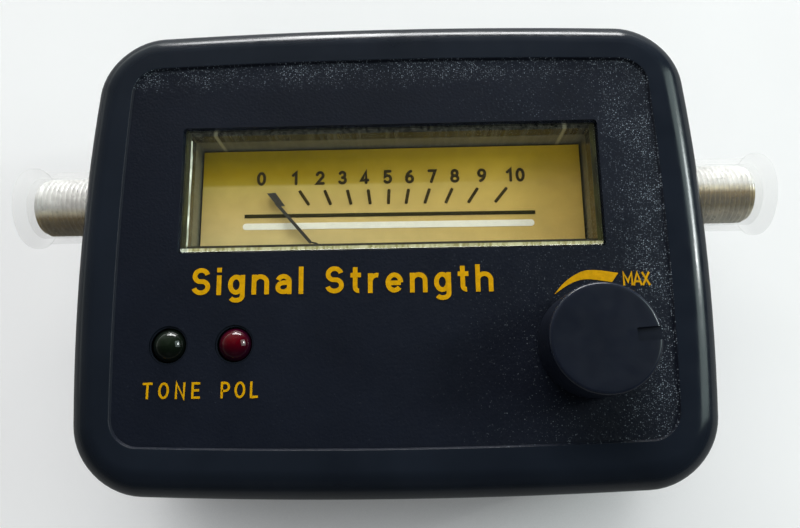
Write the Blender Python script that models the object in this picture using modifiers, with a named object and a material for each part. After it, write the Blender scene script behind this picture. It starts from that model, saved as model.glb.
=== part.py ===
"""Analogue satellite signal meter, lying on its back with its face up.

X runs along the two coaxial sockets, Y towards the top of the face and Z out of
the face.  The origin is at the middle of the flat back.  All sizes are in metres.
"""

import math

import bmesh
import bpy
from mathutils import Matrix, Vector

# General clearances and mesh steps
SEAT_GAP = 0.0003
OVERRUN = 0.0015
MERGE_DISTANCE = 0.00001
CORNER_STEPS = 6
SIDE_STEPS = 5
FILLET_STEPS = 3
ROUND_STEPS = 24
FINE_STEPS = 36
COARSE_STEPS = 12
THREAD_STEPS = 16
POST_STEPS = 16
SHARP_ANGLE = math.radians(32)

# Case shells
CASE_DEPTH = 0.0360
CASE_WALL = 0.0022
CASE_CORNER = 0.0098
CASE_SIDE_BULGE = 0.0019
CASE_END_BULGE = 0.0012
FRONT_DRAFT = 0.0005
REAR_DRAFT = 0.0008
FRONT_FILLET = 0.0042
REAR_FILLET = 0.0030
INNER_FILLET = 0.0018
LIP_HEIGHT = 0.0014
LIP_ROOT = 0.0030
LIP_THICKNESS = 0.0010

# Case screws and their bosses
BOSS_INSET = 0.0102
FRONT_BOSS_RADIUS = 0.0035
REAR_BOSS_RADIUS = 0.0045
BOSS_JOINT = 0.0120
SCREW_RADIUS = 0.0015
SCREW_LENGTH = 0.0160
SCREW_HEAD_RADIUS = 0.0028
SCREW_HEAD_HEIGHT = 0.0020
SCREW_SLOT_WIDTH = 0.0007
SCREW_SLOT_DEPTH = 0.0009
SCREW_SLOT_SHARE = 0.66
COUNTERBORE_DEPTH = 0.0030

# Face from its top edge down: margin, meter window, knob, lower case screws
WINDOW_TOP_MARGIN = 0.0178
WINDOW_WIDTH = 0.0630
WINDOW_HEIGHT = 0.0197
KNOB_BELOW_WINDOW = 0.0143
BOSS_BELOW_KNOB = 0.0111
CASE_HEIGHT = WINDOW_TOP_MARGIN + WINDOW_HEIGHT + KNOB_BELOW_WINDOW + BOSS_BELOW_KNOB + BOSS_INSET
WINDOW_HIGH = CASE_HEIGHT / 2 - WINDOW_TOP_MARGIN
WINDOW_LOW = WINDOW_HIGH - WINDOW_HEIGHT
KNOB_Y = WINDOW_LOW - KNOB_BELOW_WINDOW

# Recessed panel on the face
PANEL_RECESS = 0.0004
PANEL_SIDE_MARGIN = 0.0072
PANEL_END_MARGIN = 0.0073
PANEL_CORNER = 0.0038
PANEL_BULGE = 0.0008
PANEL_FACE = CASE_DEPTH - PANEL_RECESS
PANEL_UNDERSIDE = PANEL_FACE - CASE_WALL

# Pointer's height over the dial, and what lies over it
POINTER_RISE = 0.0009
POINTER_HUB_HEIGHT = 0.0007
SPRING_LIFT = 0.00031
SPRING_WIRE = 0.00012
JEWEL_LENGTH = 0.0014
JEWEL_HEADROOM = 0.0002
PANE_THICKNESS = 0.0009
FRONT_BRIDGE_RISE = POINTER_RISE + POINTER_HUB_HEIGHT / 2 + SPRING_LIFT + 2 * SPRING_WIRE + SEAT_GAP

# Panel meter housing
DIAL_FACE = PANEL_UNDERSIDE - SEAT_GAP - PANE_THICKNESS - JEWEL_HEADROOM - JEWEL_LENGTH - FRONT_BRIDGE_RISE
COVER_SINK = 0.0003
COVER_WALL = 0.0007
COVER_FLANGE = 0.0015
METER_HALF_WIDTH = WINDOW_WIDTH / 2 - SEAT_GAP + COVER_FLANGE
METER_JOINT_DROP = 0.0044
METER_JOINT = DIAL_FACE - METER_JOINT_DROP
TRAY_DEPTH = 0.0024
TRAY_FLOOR = 0.0012
POD_WALL = 0.0012
POD_CLEARANCE = 0.0022
SUPPORT_RADIUS = 0.0014
SUPPORT_SHARE = 0.86
SUPPORT_LOW_SHARE = 0.25
SUPPORT_HIGH_SHARE = 0.8

# Dial plate
DIAL_THICKNESS = 0.0005
DIAL_TAB_LENGTH = 0.0068
DIAL_SCREW_RADIUS = 0.0007
DIAL_SCREW_HEAD = 0.0011
DIAL_SCREW_LENGTH = 0.0040
DIAL_PILLAR = 0.0032
DIAL_PILLAR_DROP_SHARE = 0.66

# Moving-coil movement
PIVOT_BELOW_WINDOW = 0.0115
PIVOT_Y = WINDOW_LOW - PIVOT_BELOW_WINDOW
CORE_RADIUS = 0.0045
COIL_BAR = 0.0008
COIL_GAP = 0.0006
COIL_SIDE_GAP = 0.0007
COIL_SIDE = 0.0017
COIL_DEPTH = 0.0020
COIL_YOKE_GAP = 0.0011
YOKE_WALL = 0.0016
YOKE_RADIUS = CORE_RADIUS + COIL_SIDE_GAP + COIL_SIDE + COIL_YOKE_GAP + YOKE_WALL
YOKE_DROP = 0.0031
YOKE_WEB = 0.0050
WEB_START_SHARE = 0.8
YOKE_TOP = DIAL_FACE - YOKE_DROP
YOKE_BOTTOM = 0.0162
PIVOT_RADIUS = 0.0006
PIVOT_TIP_RADIUS = 0.0002
BRIDGE_WIDTH = 0.0044
BRIDGE_THICKNESS = 0.0008
REAR_BRIDGE_DROP = 0.0035
JEWEL_RADIUS = 0.0010
LEDGE_REACH = 0.0055
SPRING_RADIUS = 0.0036
SPRING_TURNS = 3
SPRING_STEPS = 14
POD_HALF_WIDTH = YOKE_RADIUS + POD_CLEARANCE + POD_WALL

# Pointer
POINTER_TOP_ROOM = 0.0019
POINTER_LENGTH = PIVOT_BELOW_WINDOW + WINDOW_HEIGHT - POINTER_TOP_ROOM
POINTER_REST = math.radians(40.1)
POINTER_WIRE = 0.00022
POINTER_FLAG_LENGTH = 0.0028
POINTER_FLAG_WIDTH = 0.0012
POINTER_FLAG_THICKNESS = 0.0003
POINTER_CRANK_AT = 0.0192
POINTER_CRANK_STEP = 0.0011
POINTER_CRANK_RUN = 0.0009
POINTER_TAIL = 0.0055
POINTER_HUB_RADIUS = 0.0016
POINTER_WEIGHT_RADIUS = 0.0008
CRANK_SWELL_SHARE = 0.25
POINTER_FLAG_SLANT_SHARE = 0.45
TAIL_WEIGHT_SHARE = 0.5

# Meter terminals and wires
TERMINAL_RADIUS = 0.0006
TERMINAL_X = 0.0035
TERMINAL_REACH = 0.0100
TERMINAL_ABOVE = 0.0036
TERMINAL_BELOW = 0.0020
WIRE_RADIUS = 0.00055
WIRE_SAG = 0.0040
WIRE_BESIDE_POD = 0.0042
WIRE_POINTS = 16

# Coaxial sockets, one on each side of the meter
SOCKET_BELOW_WINDOW_TOP = 0.0084
SOCKET_Y = WINDOW_HIGH - SOCKET_BELOW_WINDOW_TOP
THREAD_RADIUS = 0.0047625
THREAD_PITCH = 0.0007938
THREAD_DEPTH = 0.00045
SOCKET_WALL = 0.0009125
SOCKET_BORE = THREAD_RADIUS - THREAD_DEPTH - SOCKET_WALL
SOCKET_SHOULDER = 0.0012375
SOCKET_FLANGE_RADIUS = THREAD_RADIUS + SOCKET_SHOULDER
SOCKET_FLANGE_THICKNESS = 0.0016
SOCKET_TAIL_WALL = 0.0006
SOCKET_TAIL_LENGTH = 0.0044
SOCKET_RECESS = 0.0006
SOCKET_WALL_SHARE = 0.25
CONTACT_RADIUS = 0.0005
METER_SOCKET_GAP = 0.0058
CONTACT_REACH = 0.0035
SOCKET_TAIL_END = METER_HALF_WIDTH + METER_SOCKET_GAP
SOCKET_START = SOCKET_TAIL_END + SOCKET_TAIL_LENGTH + SOCKET_FLANGE_THICKNESS
CONTACT_FOOT = SOCKET_TAIL_END - CONTACT_REACH

# Width of the case, which takes the meter and both sockets
CASE_WIDTH = 2 * (SOCKET_START + SEAT_GAP + CASE_SIDE_BULGE * SOCKET_WALL_SHARE + CASE_WALL)
PANEL_WIDTH = CASE_WIDTH - 2 * PANEL_SIDE_MARGIN
PANEL_HEIGHT = CASE_HEIGHT - 2 * PANEL_END_MARGIN
SOCKET_REACH = 0.0108
SOCKET_END = CASE_WIDTH / 2 + SOCKET_REACH

# Clear dust caps
CAP_ROOM = 0.0024
CAP_END = SOCKET_END + CAP_ROOM
CAP_WALL = 0.0009375
CAP_RIM = 0.00075
CAP_BORE = THREAD_RADIUS + SEAT_GAP
CAP_OUTER_RADIUS = CAP_BORE + CAP_WALL
CAP_FLANGE_RADIUS = CAP_OUTER_RADIUS + CAP_RIM
CAP_END_THICKNESS = 0.0014
CAP_MOUTH_GAP = 0.0005

# Circuit board under the meter, and its pillars
BOARD_METER_GAP = 0.0007
BOARD_THICKNESS = 0.0016
BOARD_SIDE_GAP = 0.0038
BOARD_LOW_GAP = 0.0002
BOARD_HIGH_GAP = 0.0004
BOARD_SOCKET_GAP = 0.0017
BOARD_NECK_GAP = 0.0015
BOARD_TOP = METER_JOINT - TRAY_DEPTH - BOARD_METER_GAP
BOARD_BOTTOM = BOARD_TOP - BOARD_THICKNESS
BOARD_HALF_WIDTH = CASE_WIDTH / 2 - CASE_WALL - BOARD_SIDE_GAP
BOARD_NECK = SOCKET_TAIL_END - BOARD_NECK_GAP
BOARD_REACH = CASE_HEIGHT / 2 - BOSS_INSET - FRONT_BOSS_RADIUS
BOARD_LOW = BOARD_LOW_GAP - BOARD_REACH
BOARD_HIGH = BOARD_REACH - BOARD_HIGH_GAP
BOARD_STEP = SOCKET_Y - SOCKET_FLANGE_RADIUS - BOARD_SOCKET_GAP
PILLAR_RADIUS = 0.0028
PILLAR_INSET = 0.0040
PILLAR_BELOW_WINDOW = 0.0020
PILLAR_BESIDE_POD = 0.0040
PILLAR_LOW_INSET = 0.0024
PILLAR_SIDE_X = BOARD_HALF_WIDTH - PILLAR_INSET
PILLAR_SIDE_Y = WINDOW_LOW - PILLAR_BELOW_WINDOW
PILLAR_LOW_X = POD_HALF_WIDTH + PILLAR_BESIDE_POD
PILLAR_LOW_Y = BOARD_LOW + PILLAR_LOW_INSET
PAD_INSET = 0.0100
PAD_TOP_INSET = 0.0030
PAD_X = BOARD_NECK - PAD_INSET
PAD_Y = BOARD_HIGH - PAD_TOP_INSET
BOARD_SCREW_RADIUS = 0.0011
BOARD_SCREW_HEAD = 0.0021
BOARD_SCREW_HEAD_HEIGHT = 0.0014
BOARD_SCREW_LENGTH = 0.0065

# Parting plane of the shells, through the sockets' axis
PARTING_RISE = 0.0020
PARTING_HEIGHT = BOARD_TOP + PARTING_RISE

# Indicator LEDs
LED_RADIUS = 0.0025
LED_BELOW_WINDOW = 0.0135
LED_Y = WINDOW_LOW - LED_BELOW_WINDOW
LED_GREEN_X = -0.0320
LED_PITCH = 0.0095
LED_RED_X = LED_GREEN_X + LED_PITCH
LED_PROUD = 0.0012
LED_BODY = 0.0086
LED_FLANGE = 0.0004
LED_FLANGE_HEIGHT = 0.0010
LED_LEAD = 0.0005
LED_LEAD_PITCH = 0.00254
LED_LEAD_PAST_BOARD = 0.0010

# Potentiometer and knob
KNOB_BESIDE_PILLAR = 0.0111
KNOB_X = PILLAR_LOW_X + KNOB_BESIDE_PILLAR
KNOB_RADIUS = 0.0076
KNOB_TAPER = 0.0002
KNOB_HEIGHT = 0.0078
KNOB_LIFT = 0.0007
KNOB_EDGE = 0.0007
EDGE_SHARE = 0.3
KNOB_SKIRT = 0.0014
KNOB_TOP_WALL = 0.0018
KNOB_BOSS_WALL = 0.0011
KNOB_SLOT_WIDTH = 0.0018
KNOB_SLOT_DEPTH = 0.0010
KNOB_SLOT_LENGTH = 0.0035
KNOB_SLOT_TURN = math.radians(4)
SHAFT_RADIUS = 0.0030
SHAFT_GRIP = 0.0050
SHAFT_FOOT = 0.0016
POT_RADIUS = 0.0080
POT_HEIGHT = 0.0070
POT_WALL = 0.0008
BUSHING_WALL = 0.0007
BUSHING_RADIUS = SHAFT_RADIUS + SEAT_GAP + BUSHING_WALL
BUSHING_BELOW_FACE = 0.0008
WIPER_GAP = 0.0012
WIPER_THICKNESS = 0.0012

# Components under the board
CHIP_LENGTH = 0.0193
CHIP_WIDTH = 0.0064
CHIP_HEIGHT = 0.0034
CHIP_Y = 0.0090
CHIP_PINS = 7
CHIP_PIN_PITCH = 0.00254
CHIP_PIN_WIDTH = 0.0005
CHIP_PIN_REACH = 0.0008
REGULATOR_BESIDE_POD = 0.0095
REGULATOR_X = POD_HALF_WIDTH + REGULATOR_BESIDE_POD
REGULATOR_Y = 0.0060
REGULATOR_WIDTH = 0.0100
REGULATOR_LENGTH = 0.0090
REGULATOR_HEIGHT = 0.0045
REGULATOR_TAB_LENGTH = 0.0064
REGULATOR_TAB_HEIGHT = 0.0013
REGULATOR_HOLE = 0.0018
LARGE_CAPACITOR_BESIDE_POD = 0.0075
LARGE_CAPACITOR_Y = 0.0070
LARGE_CAPACITOR_RADIUS = 0.0040
LARGE_CAPACITOR_FLOOR_GAP = 0.0049
SMALL_CAPACITOR_BESIDE_POD = 0.0070
SMALL_CAPACITOR_Y = -0.0060
SMALL_CAPACITOR_RADIUS = 0.0025
SMALL_CAPACITOR_FLOOR_GAP = 0.0059
CHOKE_BESIDE_POD = 0.0155
CHOKE_Y = -0.0090
CHOKE_RADIUS = 0.0035
CHOKE_HEIGHT = 0.0090
CHOKE_WAIST = 0.0010
CHOKE_FLANGE = 0.0012
TRIMMER_BESIDE_REGULATOR = 0.0075
TRIMMER_X = REGULATOR_X + TRIMMER_BESIDE_REGULATOR
TRIMMER_Y = -0.0110
TRIMMER_SIZE = 0.0064
TRIMMER_HEIGHT = 0.0048
TRIMMER_ROTOR = 0.0020
TRIMMER_ROTOR_HEIGHT = 0.0006
TRIMMER_SLOT = 0.0006
TRIMMER_SLOT_FLOOR = 0.00012

# Components on top of the board
TRANSISTOR_RADIUS = 0.0023
TRANSISTOR_HEIGHT = 0.0046
TRANSISTOR_Y = -0.0055
TRANSISTOR_LEFT_BESIDE_POD = 0.0065
TRANSISTOR_RIGHT_BESIDE_POD = 0.0038
TRANSISTOR_LEFT_X = -POD_HALF_WIDTH - TRANSISTOR_LEFT_BESIDE_POD
TRANSISTOR_RIGHT_X = POD_HALF_WIDTH + TRANSISTOR_RIGHT_BESIDE_POD
TRANSISTOR_FLAT_SHARE = 0.45
RESISTOR_RADIUS = 0.0011
RESISTOR_LENGTH = 0.0062
RESISTOR_CAP = 0.0003
RESISTOR_GAP = 0.0023
RESISTOR_X = TRANSISTOR_LEFT_X - TRANSISTOR_RADIUS - RESISTOR_GAP - RESISTOR_LENGTH / 2
RESISTOR_Y = -0.0062
RESISTOR_PITCH = 0.0038

# Colours
BLACK = (0.012, 0.015, 0.020)
CLEAR = (0.80, 0.82, 0.80)
AMBER = (0.42, 0.30, 0.08)
NICKEL = (0.62, 0.58, 0.50)
STEEL = (0.45, 0.45, 0.46)
BRASS = (0.60, 0.42, 0.16)
COPPER = (0.60, 0.25, 0.10)
CREAM = (0.78, 0.74, 0.62)
BOARD_GREEN = (0.03, 0.16, 0.07)
DARK = (0.02, 0.02, 0.02)
BLUE_SLEEVE = (0.02, 0.04, 0.20)
TAN = (0.55, 0.38, 0.20)
RED = (0.35, 0.01, 0.02)
GREEN = (0.02, 0.12, 0.03)
GREY = (0.25, 0.25, 0.26)

part = bpy.data.collections.new("satellite_signal_meter")
tools = bpy.data.collections.new("cutters")


def start_scene():
    """Empty the scene and add the two collections."""
    for item in list(bpy.data.objects):
        bpy.data.objects.remove(item, do_unlink=True)
    bpy.context.scene.collection.children.link(part)
    bpy.context.scene.collection.children.link(tools)


def make_material(name, colour, roughness, metallic=0.0, clearness=0.0):
    """A Principled material of one piece."""
    material = bpy.data.materials.new(name)
    material.use_nodes = True
    shader = material.node_tree.nodes["Principled BSDF"]
    shader.inputs["Base Color"].default_value = (*colour, 1.0)
    shader.inputs["Roughness"].default_value = roughness
    shader.inputs["Metallic"].default_value = metallic
    shader.inputs["Transmission Weight"].default_value = clearness
    return material


def to_mesh(name, shape):
    """Turn a bmesh into a mesh with its faces pointing out."""
    bmesh.ops.recalc_face_normals(shape, faces=shape.faces)
    mesh = bpy.data.meshes.new(name)
    shape.to_mesh(mesh)
    shape.free()
    mesh.shade_smooth()
    mesh.set_sharp_from_angle(angle=SHARP_ANGLE)
    return mesh


def add_piece(name, mesh, look, location=(0, 0, 0), turn=(0, 0, 0)):
    """Add one named piece of the meter with its own material."""
    piece = bpy.data.objects.new(name, mesh)
    piece.location = location
    piece.rotation_euler = turn
    if not mesh.materials:
        mesh.materials.append(make_material(name, *look))
    part.objects.link(piece)
    return piece


def add_tool(name, mesh, location=(0, 0, 0), turn=(0, 0, 0)):
    """Add a shape that only cuts or joins other pieces."""
    tool = bpy.data.objects.new(name, mesh)
    tool.location = location
    tool.rotation_euler = turn
    tool.hide_render = True
    tool.display_type = "WIRE"
    tools.objects.link(tool)
    return tool


def combine(piece, tool, operation):
    """Boolean a tool into a piece."""
    modifier = piece.modifiers.new(tool.name, "BOOLEAN")
    modifier.object = tool
    modifier.operation = operation
    modifier.solver = "EXACT"


def cut(piece, name, shape):
    combine(piece, add_tool(name, to_mesh(name, shape)), "DIFFERENCE")


def join(piece, name, shape):
    combine(piece, add_tool(name, to_mesh(name, shape)), "UNION")


def finished_mesh(piece):
    """The piece's mesh with its modifiers applied, to be shared by its copies."""
    bpy.context.view_layer.update()
    graph = bpy.context.evaluated_depsgraph_get()
    mesh = bpy.data.meshes.new_from_object(piece.evaluated_get(graph))
    bpy.data.objects.remove(piece, do_unlink=True)
    return mesh


def pillow_loop(width, height, corner, side_bulge, end_bulge):
    """Rounded rectangle whose four sides swell, as points in order round it."""
    half_width = width / 2 - side_bulge
    half_height = height / 2 - end_bulge
    corners = []
    for sign_x, sign_y, start in ((1, -1, -90), (1, 1, 0), (-1, 1, 90), (-1, -1, 180)):
        middle_x = sign_x * (half_width - corner)
        middle_y = sign_y * (half_height - corner)
        arc = []
        for step in range(CORNER_STEPS + 1):
            angle = math.radians(start + 90 * step / CORNER_STEPS)
            arc.append((middle_x + corner * math.cos(angle), middle_y + corner * math.sin(angle)))
        corners.append(arc)
    flat = []
    for index, arc in enumerate(corners):
        following = corners[(index + 1) % 4][0]
        flat.extend(arc)
        for step in range(1, SIDE_STEPS):
            along = step / SIDE_STEPS
            flat.append(tuple(a + (b - a) * along for a, b in zip(arc[-1], following)))
    loop = []
    for x, y in flat:
        swollen_x = x * (1 + side_bulge / half_width * (1 - (y / half_height) ** 2))
        swollen_y = y * (1 + end_bulge / half_height * (1 - (x / half_width) ** 2))
        loop.append((swollen_x, swollen_y))
    return loop


def case_loop(inset):
    return pillow_loop(CASE_WIDTH - 2 * inset, CASE_HEIGHT - 2 * inset, CASE_CORNER - inset,
                       CASE_SIDE_BULGE, CASE_END_BULGE)


def prism(loop, bottom, top, draft=0.0, fillet=0.0, shape=None):
    """Solid between two heights; draft draws its far end in and fillet rounds it.

    The far end is the one given second, so bottom may lie above top.
    """
    shape = shape or bmesh.new()
    base = shape.faces.new([shape.verts.new((x, y, bottom)) for x, y in loop])
    raised = bmesh.ops.extrude_face_region(shape, geom=[base])["geom"]
    corners = [item for item in raised if isinstance(item, bmesh.types.BMVert)]
    end = [item for item in raised if isinstance(item, bmesh.types.BMFace)][0]
    half_width = max(x for x, y in loop)
    half_height = max(y for x, y in loop)
    for corner in corners:
        corner.co.x *= 1 - draft / half_width
        corner.co.y *= 1 - draft / half_height
        corner.co.z = top
    if fillet:
        bmesh.ops.bevel(shape, geom=list(end.edges), offset=fillet, offset_type="OFFSET",
                        segments=FILLET_STEPS, profile=0.5, affect="EDGES")
    return shape


def box(low, high, shape=None):
    """Box between two corners."""
    shape = shape or bmesh.new()
    size = [b - a for a, b in zip(low, high)]
    middle = [(a + b) / 2 for a, b in zip(low, high)]
    place = Matrix.Translation(middle) @ Matrix.Diagonal((*size, 1))
    bmesh.ops.create_cube(shape, size=1, matrix=place)
    return shape


def rod(radius, start, end, steps=ROUND_STEPS, shape=None, end_radius=None):
    """Round bar, or cone, between two points."""
    shape = shape or bmesh.new()
    start = Vector(start)
    run = Vector(end) - start
    turn = run.to_track_quat("Z", "Y").to_matrix().to_4x4()
    place = Matrix.Translation(start + run / 2) @ turn
    bmesh.ops.create_cone(shape, cap_ends=True, segments=steps, radius1=radius,
                          radius2=radius if end_radius is None else end_radius,
                          depth=run.length, matrix=place)
    return shape


def upright(radius, x, y, bottom, top, steps=ROUND_STEPS, shape=None, end_radius=None):
    return rod(radius, (x, y, bottom), (x, y, top), steps, shape, end_radius)


def turned_profile(name, points, closed=False):
    """Profile line in the XZ plane, run from top to bottom on its outer side."""
    count = len(points)
    edges = [(index, index + 1) for index in range(count - 1)]
    if closed:
        edges.append((count - 1, 0))
    mesh = bpy.data.meshes.new(name)
    mesh.from_pydata([(radius, 0, height) for radius, height in points], edges, [])
    return mesh


def turn_round(piece, steps=ROUND_STEPS):
    """Sweep a profile once round its Z axis."""
    screw = piece.modifiers.new("turned", "SCREW")
    screw.steps = steps
    screw.render_steps = steps
    screw.use_merge_vertices = True
    screw.merge_threshold = MERGE_DISTANCE
    screw.use_smooth_shade = True


def turned(name, points, look, location=(0, 0, 0), turn=(0, 0, 0), closed=False, steps=ROUND_STEPS):
    """A turned piece, from a profile of (radius, height) points."""
    piece = add_piece(name, turned_profile(name, points, closed), look, location, turn)
    turn_round(piece, steps)
    return piece


def tube_mesh(name, points, radius, sides):
    """Closed wire along a line of points."""
    curve = bpy.data.curves.new(name, "CURVE")
    curve.dimensions = "3D"
    curve.bevel_depth = radius
    curve.bevel_resolution = sides
    curve.use_fill_caps = True
    line = curve.splines.new("POLY")
    line.points.add(len(points) - 1)
    for spot, point in zip(line.points, points):
        spot.co = (*point, 1)
    guide = bpy.data.objects.new(name, curve)
    bpy.context.scene.collection.objects.link(guide)
    mesh = finished_mesh(guide)
    shape = bmesh.new()
    shape.from_mesh(mesh)
    bmesh.ops.remove_doubles(shape, verts=shape.verts, dist=MERGE_DISTANCE)
    bpy.data.meshes.remove(mesh)
    return to_mesh(name, shape)


def bezier_points(ends, count):
    """Points along a cubic curve with the four given control points."""
    first, second, third, last = (Vector(point) for point in ends)
    points = []
    for index in range(count):
        t = index / (count - 1)
        s = 1 - t
        points.append(first * s ** 3 + second * 3 * s * s * t + third * 3 * s * t * t + last * t ** 3)
    return points


def boss_places():
    """Middles of the four case screws."""
    x = CASE_WIDTH / 2 - BOSS_INSET
    y = CASE_HEIGHT / 2 - BOSS_INSET
    return [(x, y), (-x, y), (-x, -y), (x, -y)]


def pillar_places():
    """Middles of the four board screws."""
    return [(PILLAR_SIDE_X, PILLAR_SIDE_Y), (-PILLAR_SIDE_X, PILLAR_SIDE_Y),
            (PILLAR_LOW_X, PILLAR_LOW_Y), (-PILLAR_LOW_X, PILLAR_LOW_Y)]


def socket_ways(radius, end):
    """Round ways through the side walls for the two sockets, out to a distance from the middle."""
    shape = bmesh.new()
    for side in (-1, 1):
        inner = side * (CASE_WIDTH / 2 - 2 * CASE_WALL - CASE_SIDE_BULGE)
        rod(radius + SEAT_GAP, (inner, SOCKET_Y, PARTING_HEIGHT),
            (side * end, SOCKET_Y, PARTING_HEIGHT), shape=shape)
    return shape


def cut_socket_ways(cover):
    """Holes for the threads and room for the flanges behind the wall."""
    cut(cover, cover.name + "_thread_ways", socket_ways(THREAD_RADIUS, CASE_WIDTH / 2 + OVERRUN))
    cut(cover, cover.name + "_flange_ways", socket_ways(SOCKET_FLANGE_RADIUS, SOCKET_START + SEAT_GAP))


def make_front_cover():
    """Front shell: fillet, panel recess, window, holes and screw bosses."""
    joint = PARTING_HEIGHT + SEAT_GAP / 2
    shell = prism(case_loop(0), joint, CASE_DEPTH, FRONT_DRAFT, FRONT_FILLET)
    cover = add_piece("front_cover", to_mesh("front_cover", shell), (BLACK, 0.45))
    hollow = prism(case_loop(CASE_WALL), joint - OVERRUN, PANEL_UNDERSIDE, FRONT_DRAFT, INNER_FILLET)
    cut(cover, "front_hollow", hollow)
    bosses = bmesh.new()
    pilots = bmesh.new()
    for x, y in boss_places():
        foot = BOSS_JOINT + SEAT_GAP / 2
        upright(FRONT_BOSS_RADIUS, x, y, foot, PANEL_UNDERSIDE + CASE_WALL / 2, POST_STEPS, bosses)
        upright(SCREW_RADIUS + SEAT_GAP, x, y, foot - OVERRUN,
                COUNTERBORE_DEPTH + SCREW_LENGTH + OVERRUN, COARSE_STEPS, pilots)
    join(cover, "front_bosses", bosses)
    cut(cover, "front_pilots", pilots)
    recess = prism(pillow_loop(PANEL_WIDTH, PANEL_HEIGHT, PANEL_CORNER, PANEL_BULGE, PANEL_BULGE),
                   PANEL_FACE, CASE_DEPTH + OVERRUN)
    cut(cover, "panel_recess", recess)
    openings = box((-WINDOW_WIDTH / 2, WINDOW_LOW, PANEL_UNDERSIDE - OVERRUN),
                   (WINDOW_WIDTH / 2, WINDOW_HIGH, PANEL_FACE + OVERRUN))
    for x in (LED_GREEN_X, LED_RED_X):
        upright(LED_RADIUS + SEAT_GAP, x, LED_Y, PANEL_UNDERSIDE - OVERRUN, PANEL_FACE + OVERRUN,
                shape=openings)
    upright(BUSHING_RADIUS + SEAT_GAP, KNOB_X, KNOB_Y, PANEL_UNDERSIDE - OVERRUN,
            PANEL_FACE + OVERRUN, shape=openings)
    cut(cover, "panel_openings", openings)
    cut_socket_ways(cover)


def make_rear_cover():
    """Rear shell: register lip, screw bosses and board pillars."""
    joint = PARTING_HEIGHT - SEAT_GAP / 2
    shell = prism(case_loop(0), joint, 0, REAR_DRAFT, REAR_FILLET)
    cover = add_piece("rear_cover", to_mesh("rear_cover", shell), (BLACK, 0.5))
    cut(cover, "rear_hollow",
        prism(case_loop(CASE_WALL), joint + OVERRUN, CASE_WALL, REAR_DRAFT, INNER_FILLET))
    join(cover, "lip_root", prism(case_loop(CASE_WALL / 2), PARTING_HEIGHT - LIP_ROOT, joint - SEAT_GAP))
    lip_outer = CASE_WALL + SEAT_GAP
    lip_top = PARTING_HEIGHT + LIP_HEIGHT
    join(cover, "lip", prism(case_loop(lip_outer), PARTING_HEIGHT - LIP_ROOT / 2, lip_top))
    cut(cover, "lip_hollow",
        prism(case_loop(lip_outer + LIP_THICKNESS), PARTING_HEIGHT - LIP_ROOT - OVERRUN, lip_top + OVERRUN))
    posts = bmesh.new()
    holes = bmesh.new()
    for x, y in boss_places():
        upright(REAR_BOSS_RADIUS, x, y, CASE_WALL / 2, BOSS_JOINT - SEAT_GAP / 2, POST_STEPS, posts)
        upright(SCREW_HEAD_RADIUS + SEAT_GAP, x, y, -OVERRUN, COUNTERBORE_DEPTH, POST_STEPS, holes)
    for x, y in pillar_places():
        upright(PILLAR_RADIUS, x, y, CASE_WALL / 2, BOARD_BOTTOM - SEAT_GAP, POST_STEPS, posts)
        upright(BOARD_SCREW_RADIUS + SEAT_GAP, x, y, BOARD_TOP - BOARD_SCREW_LENGTH - OVERRUN,
                BOARD_BOTTOM + OVERRUN, COARSE_STEPS, holes)
    for x in (-PAD_X, PAD_X):
        upright(PILLAR_RADIUS, x, PAD_Y, CASE_WALL / 2, BOARD_BOTTOM - SEAT_GAP, POST_STEPS, posts)
    join(cover, "rear_posts", posts)
    cut(cover, "rear_holes", holes)
    shanks = bmesh.new()
    for x, y in boss_places():
        upright(SCREW_RADIUS + SEAT_GAP, x, y, COUNTERBORE_DEPTH - OVERRUN, BOSS_JOINT + OVERRUN,
                COARSE_STEPS, shanks)
    cut(cover, "rear_shanks", shanks)
    cut_socket_ways(cover)


def screw_mesh(name, radius, length, head_radius, head_height, look, cross=True):
    """Screw with its head's underside at height 0 and its point up."""
    profile = [(0, length), (radius, length - radius), (radius, 0),
               (head_radius, 0), (head_radius, -head_height), (0, -head_height)]
    piece = turned(name, profile, look, steps=COARSE_STEPS)
    floor = -head_height - OVERRUN
    roof = SCREW_SLOT_DEPTH * head_height / SCREW_HEAD_HEIGHT - head_height
    reach = head_radius * SCREW_SLOT_SHARE
    width = SCREW_SLOT_WIDTH * head_radius / SCREW_HEAD_RADIUS / 2
    cut(piece, name + "_slot", box((-reach, -width, floor), (reach, width, roof)))
    if cross:
        cut(piece, name + "_cross", box((-width, -reach, floor), (width, reach, roof)))
    return finished_mesh(piece)


def make_case_screws():
    """Four self-tapping screws put in from the back."""
    mesh = screw_mesh("case_screw", SCREW_RADIUS, SCREW_LENGTH, SCREW_HEAD_RADIUS, SCREW_HEAD_HEIGHT,
                      (STEEL, 0.35, 1.0))
    for index, (x, y) in enumerate(boss_places(), 1):
        add_piece(f"case_screw_{index}", mesh, None, (x, y, COUNTERBORE_DEPTH - SEAT_GAP))


def make_board_screws():
    """Four small screws that hold the board on its pillars."""
    mesh = screw_mesh("board_screw", BOARD_SCREW_RADIUS, BOARD_SCREW_LENGTH, BOARD_SCREW_HEAD,
                      BOARD_SCREW_HEAD_HEIGHT, (STEEL, 0.35, 1.0))
    for index, (x, y) in enumerate(pillar_places(), 1):
        add_piece(f"board_screw_{index}", mesh, None, (x, y, BOARD_TOP + SEAT_GAP), (math.pi, 0, 0))


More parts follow.
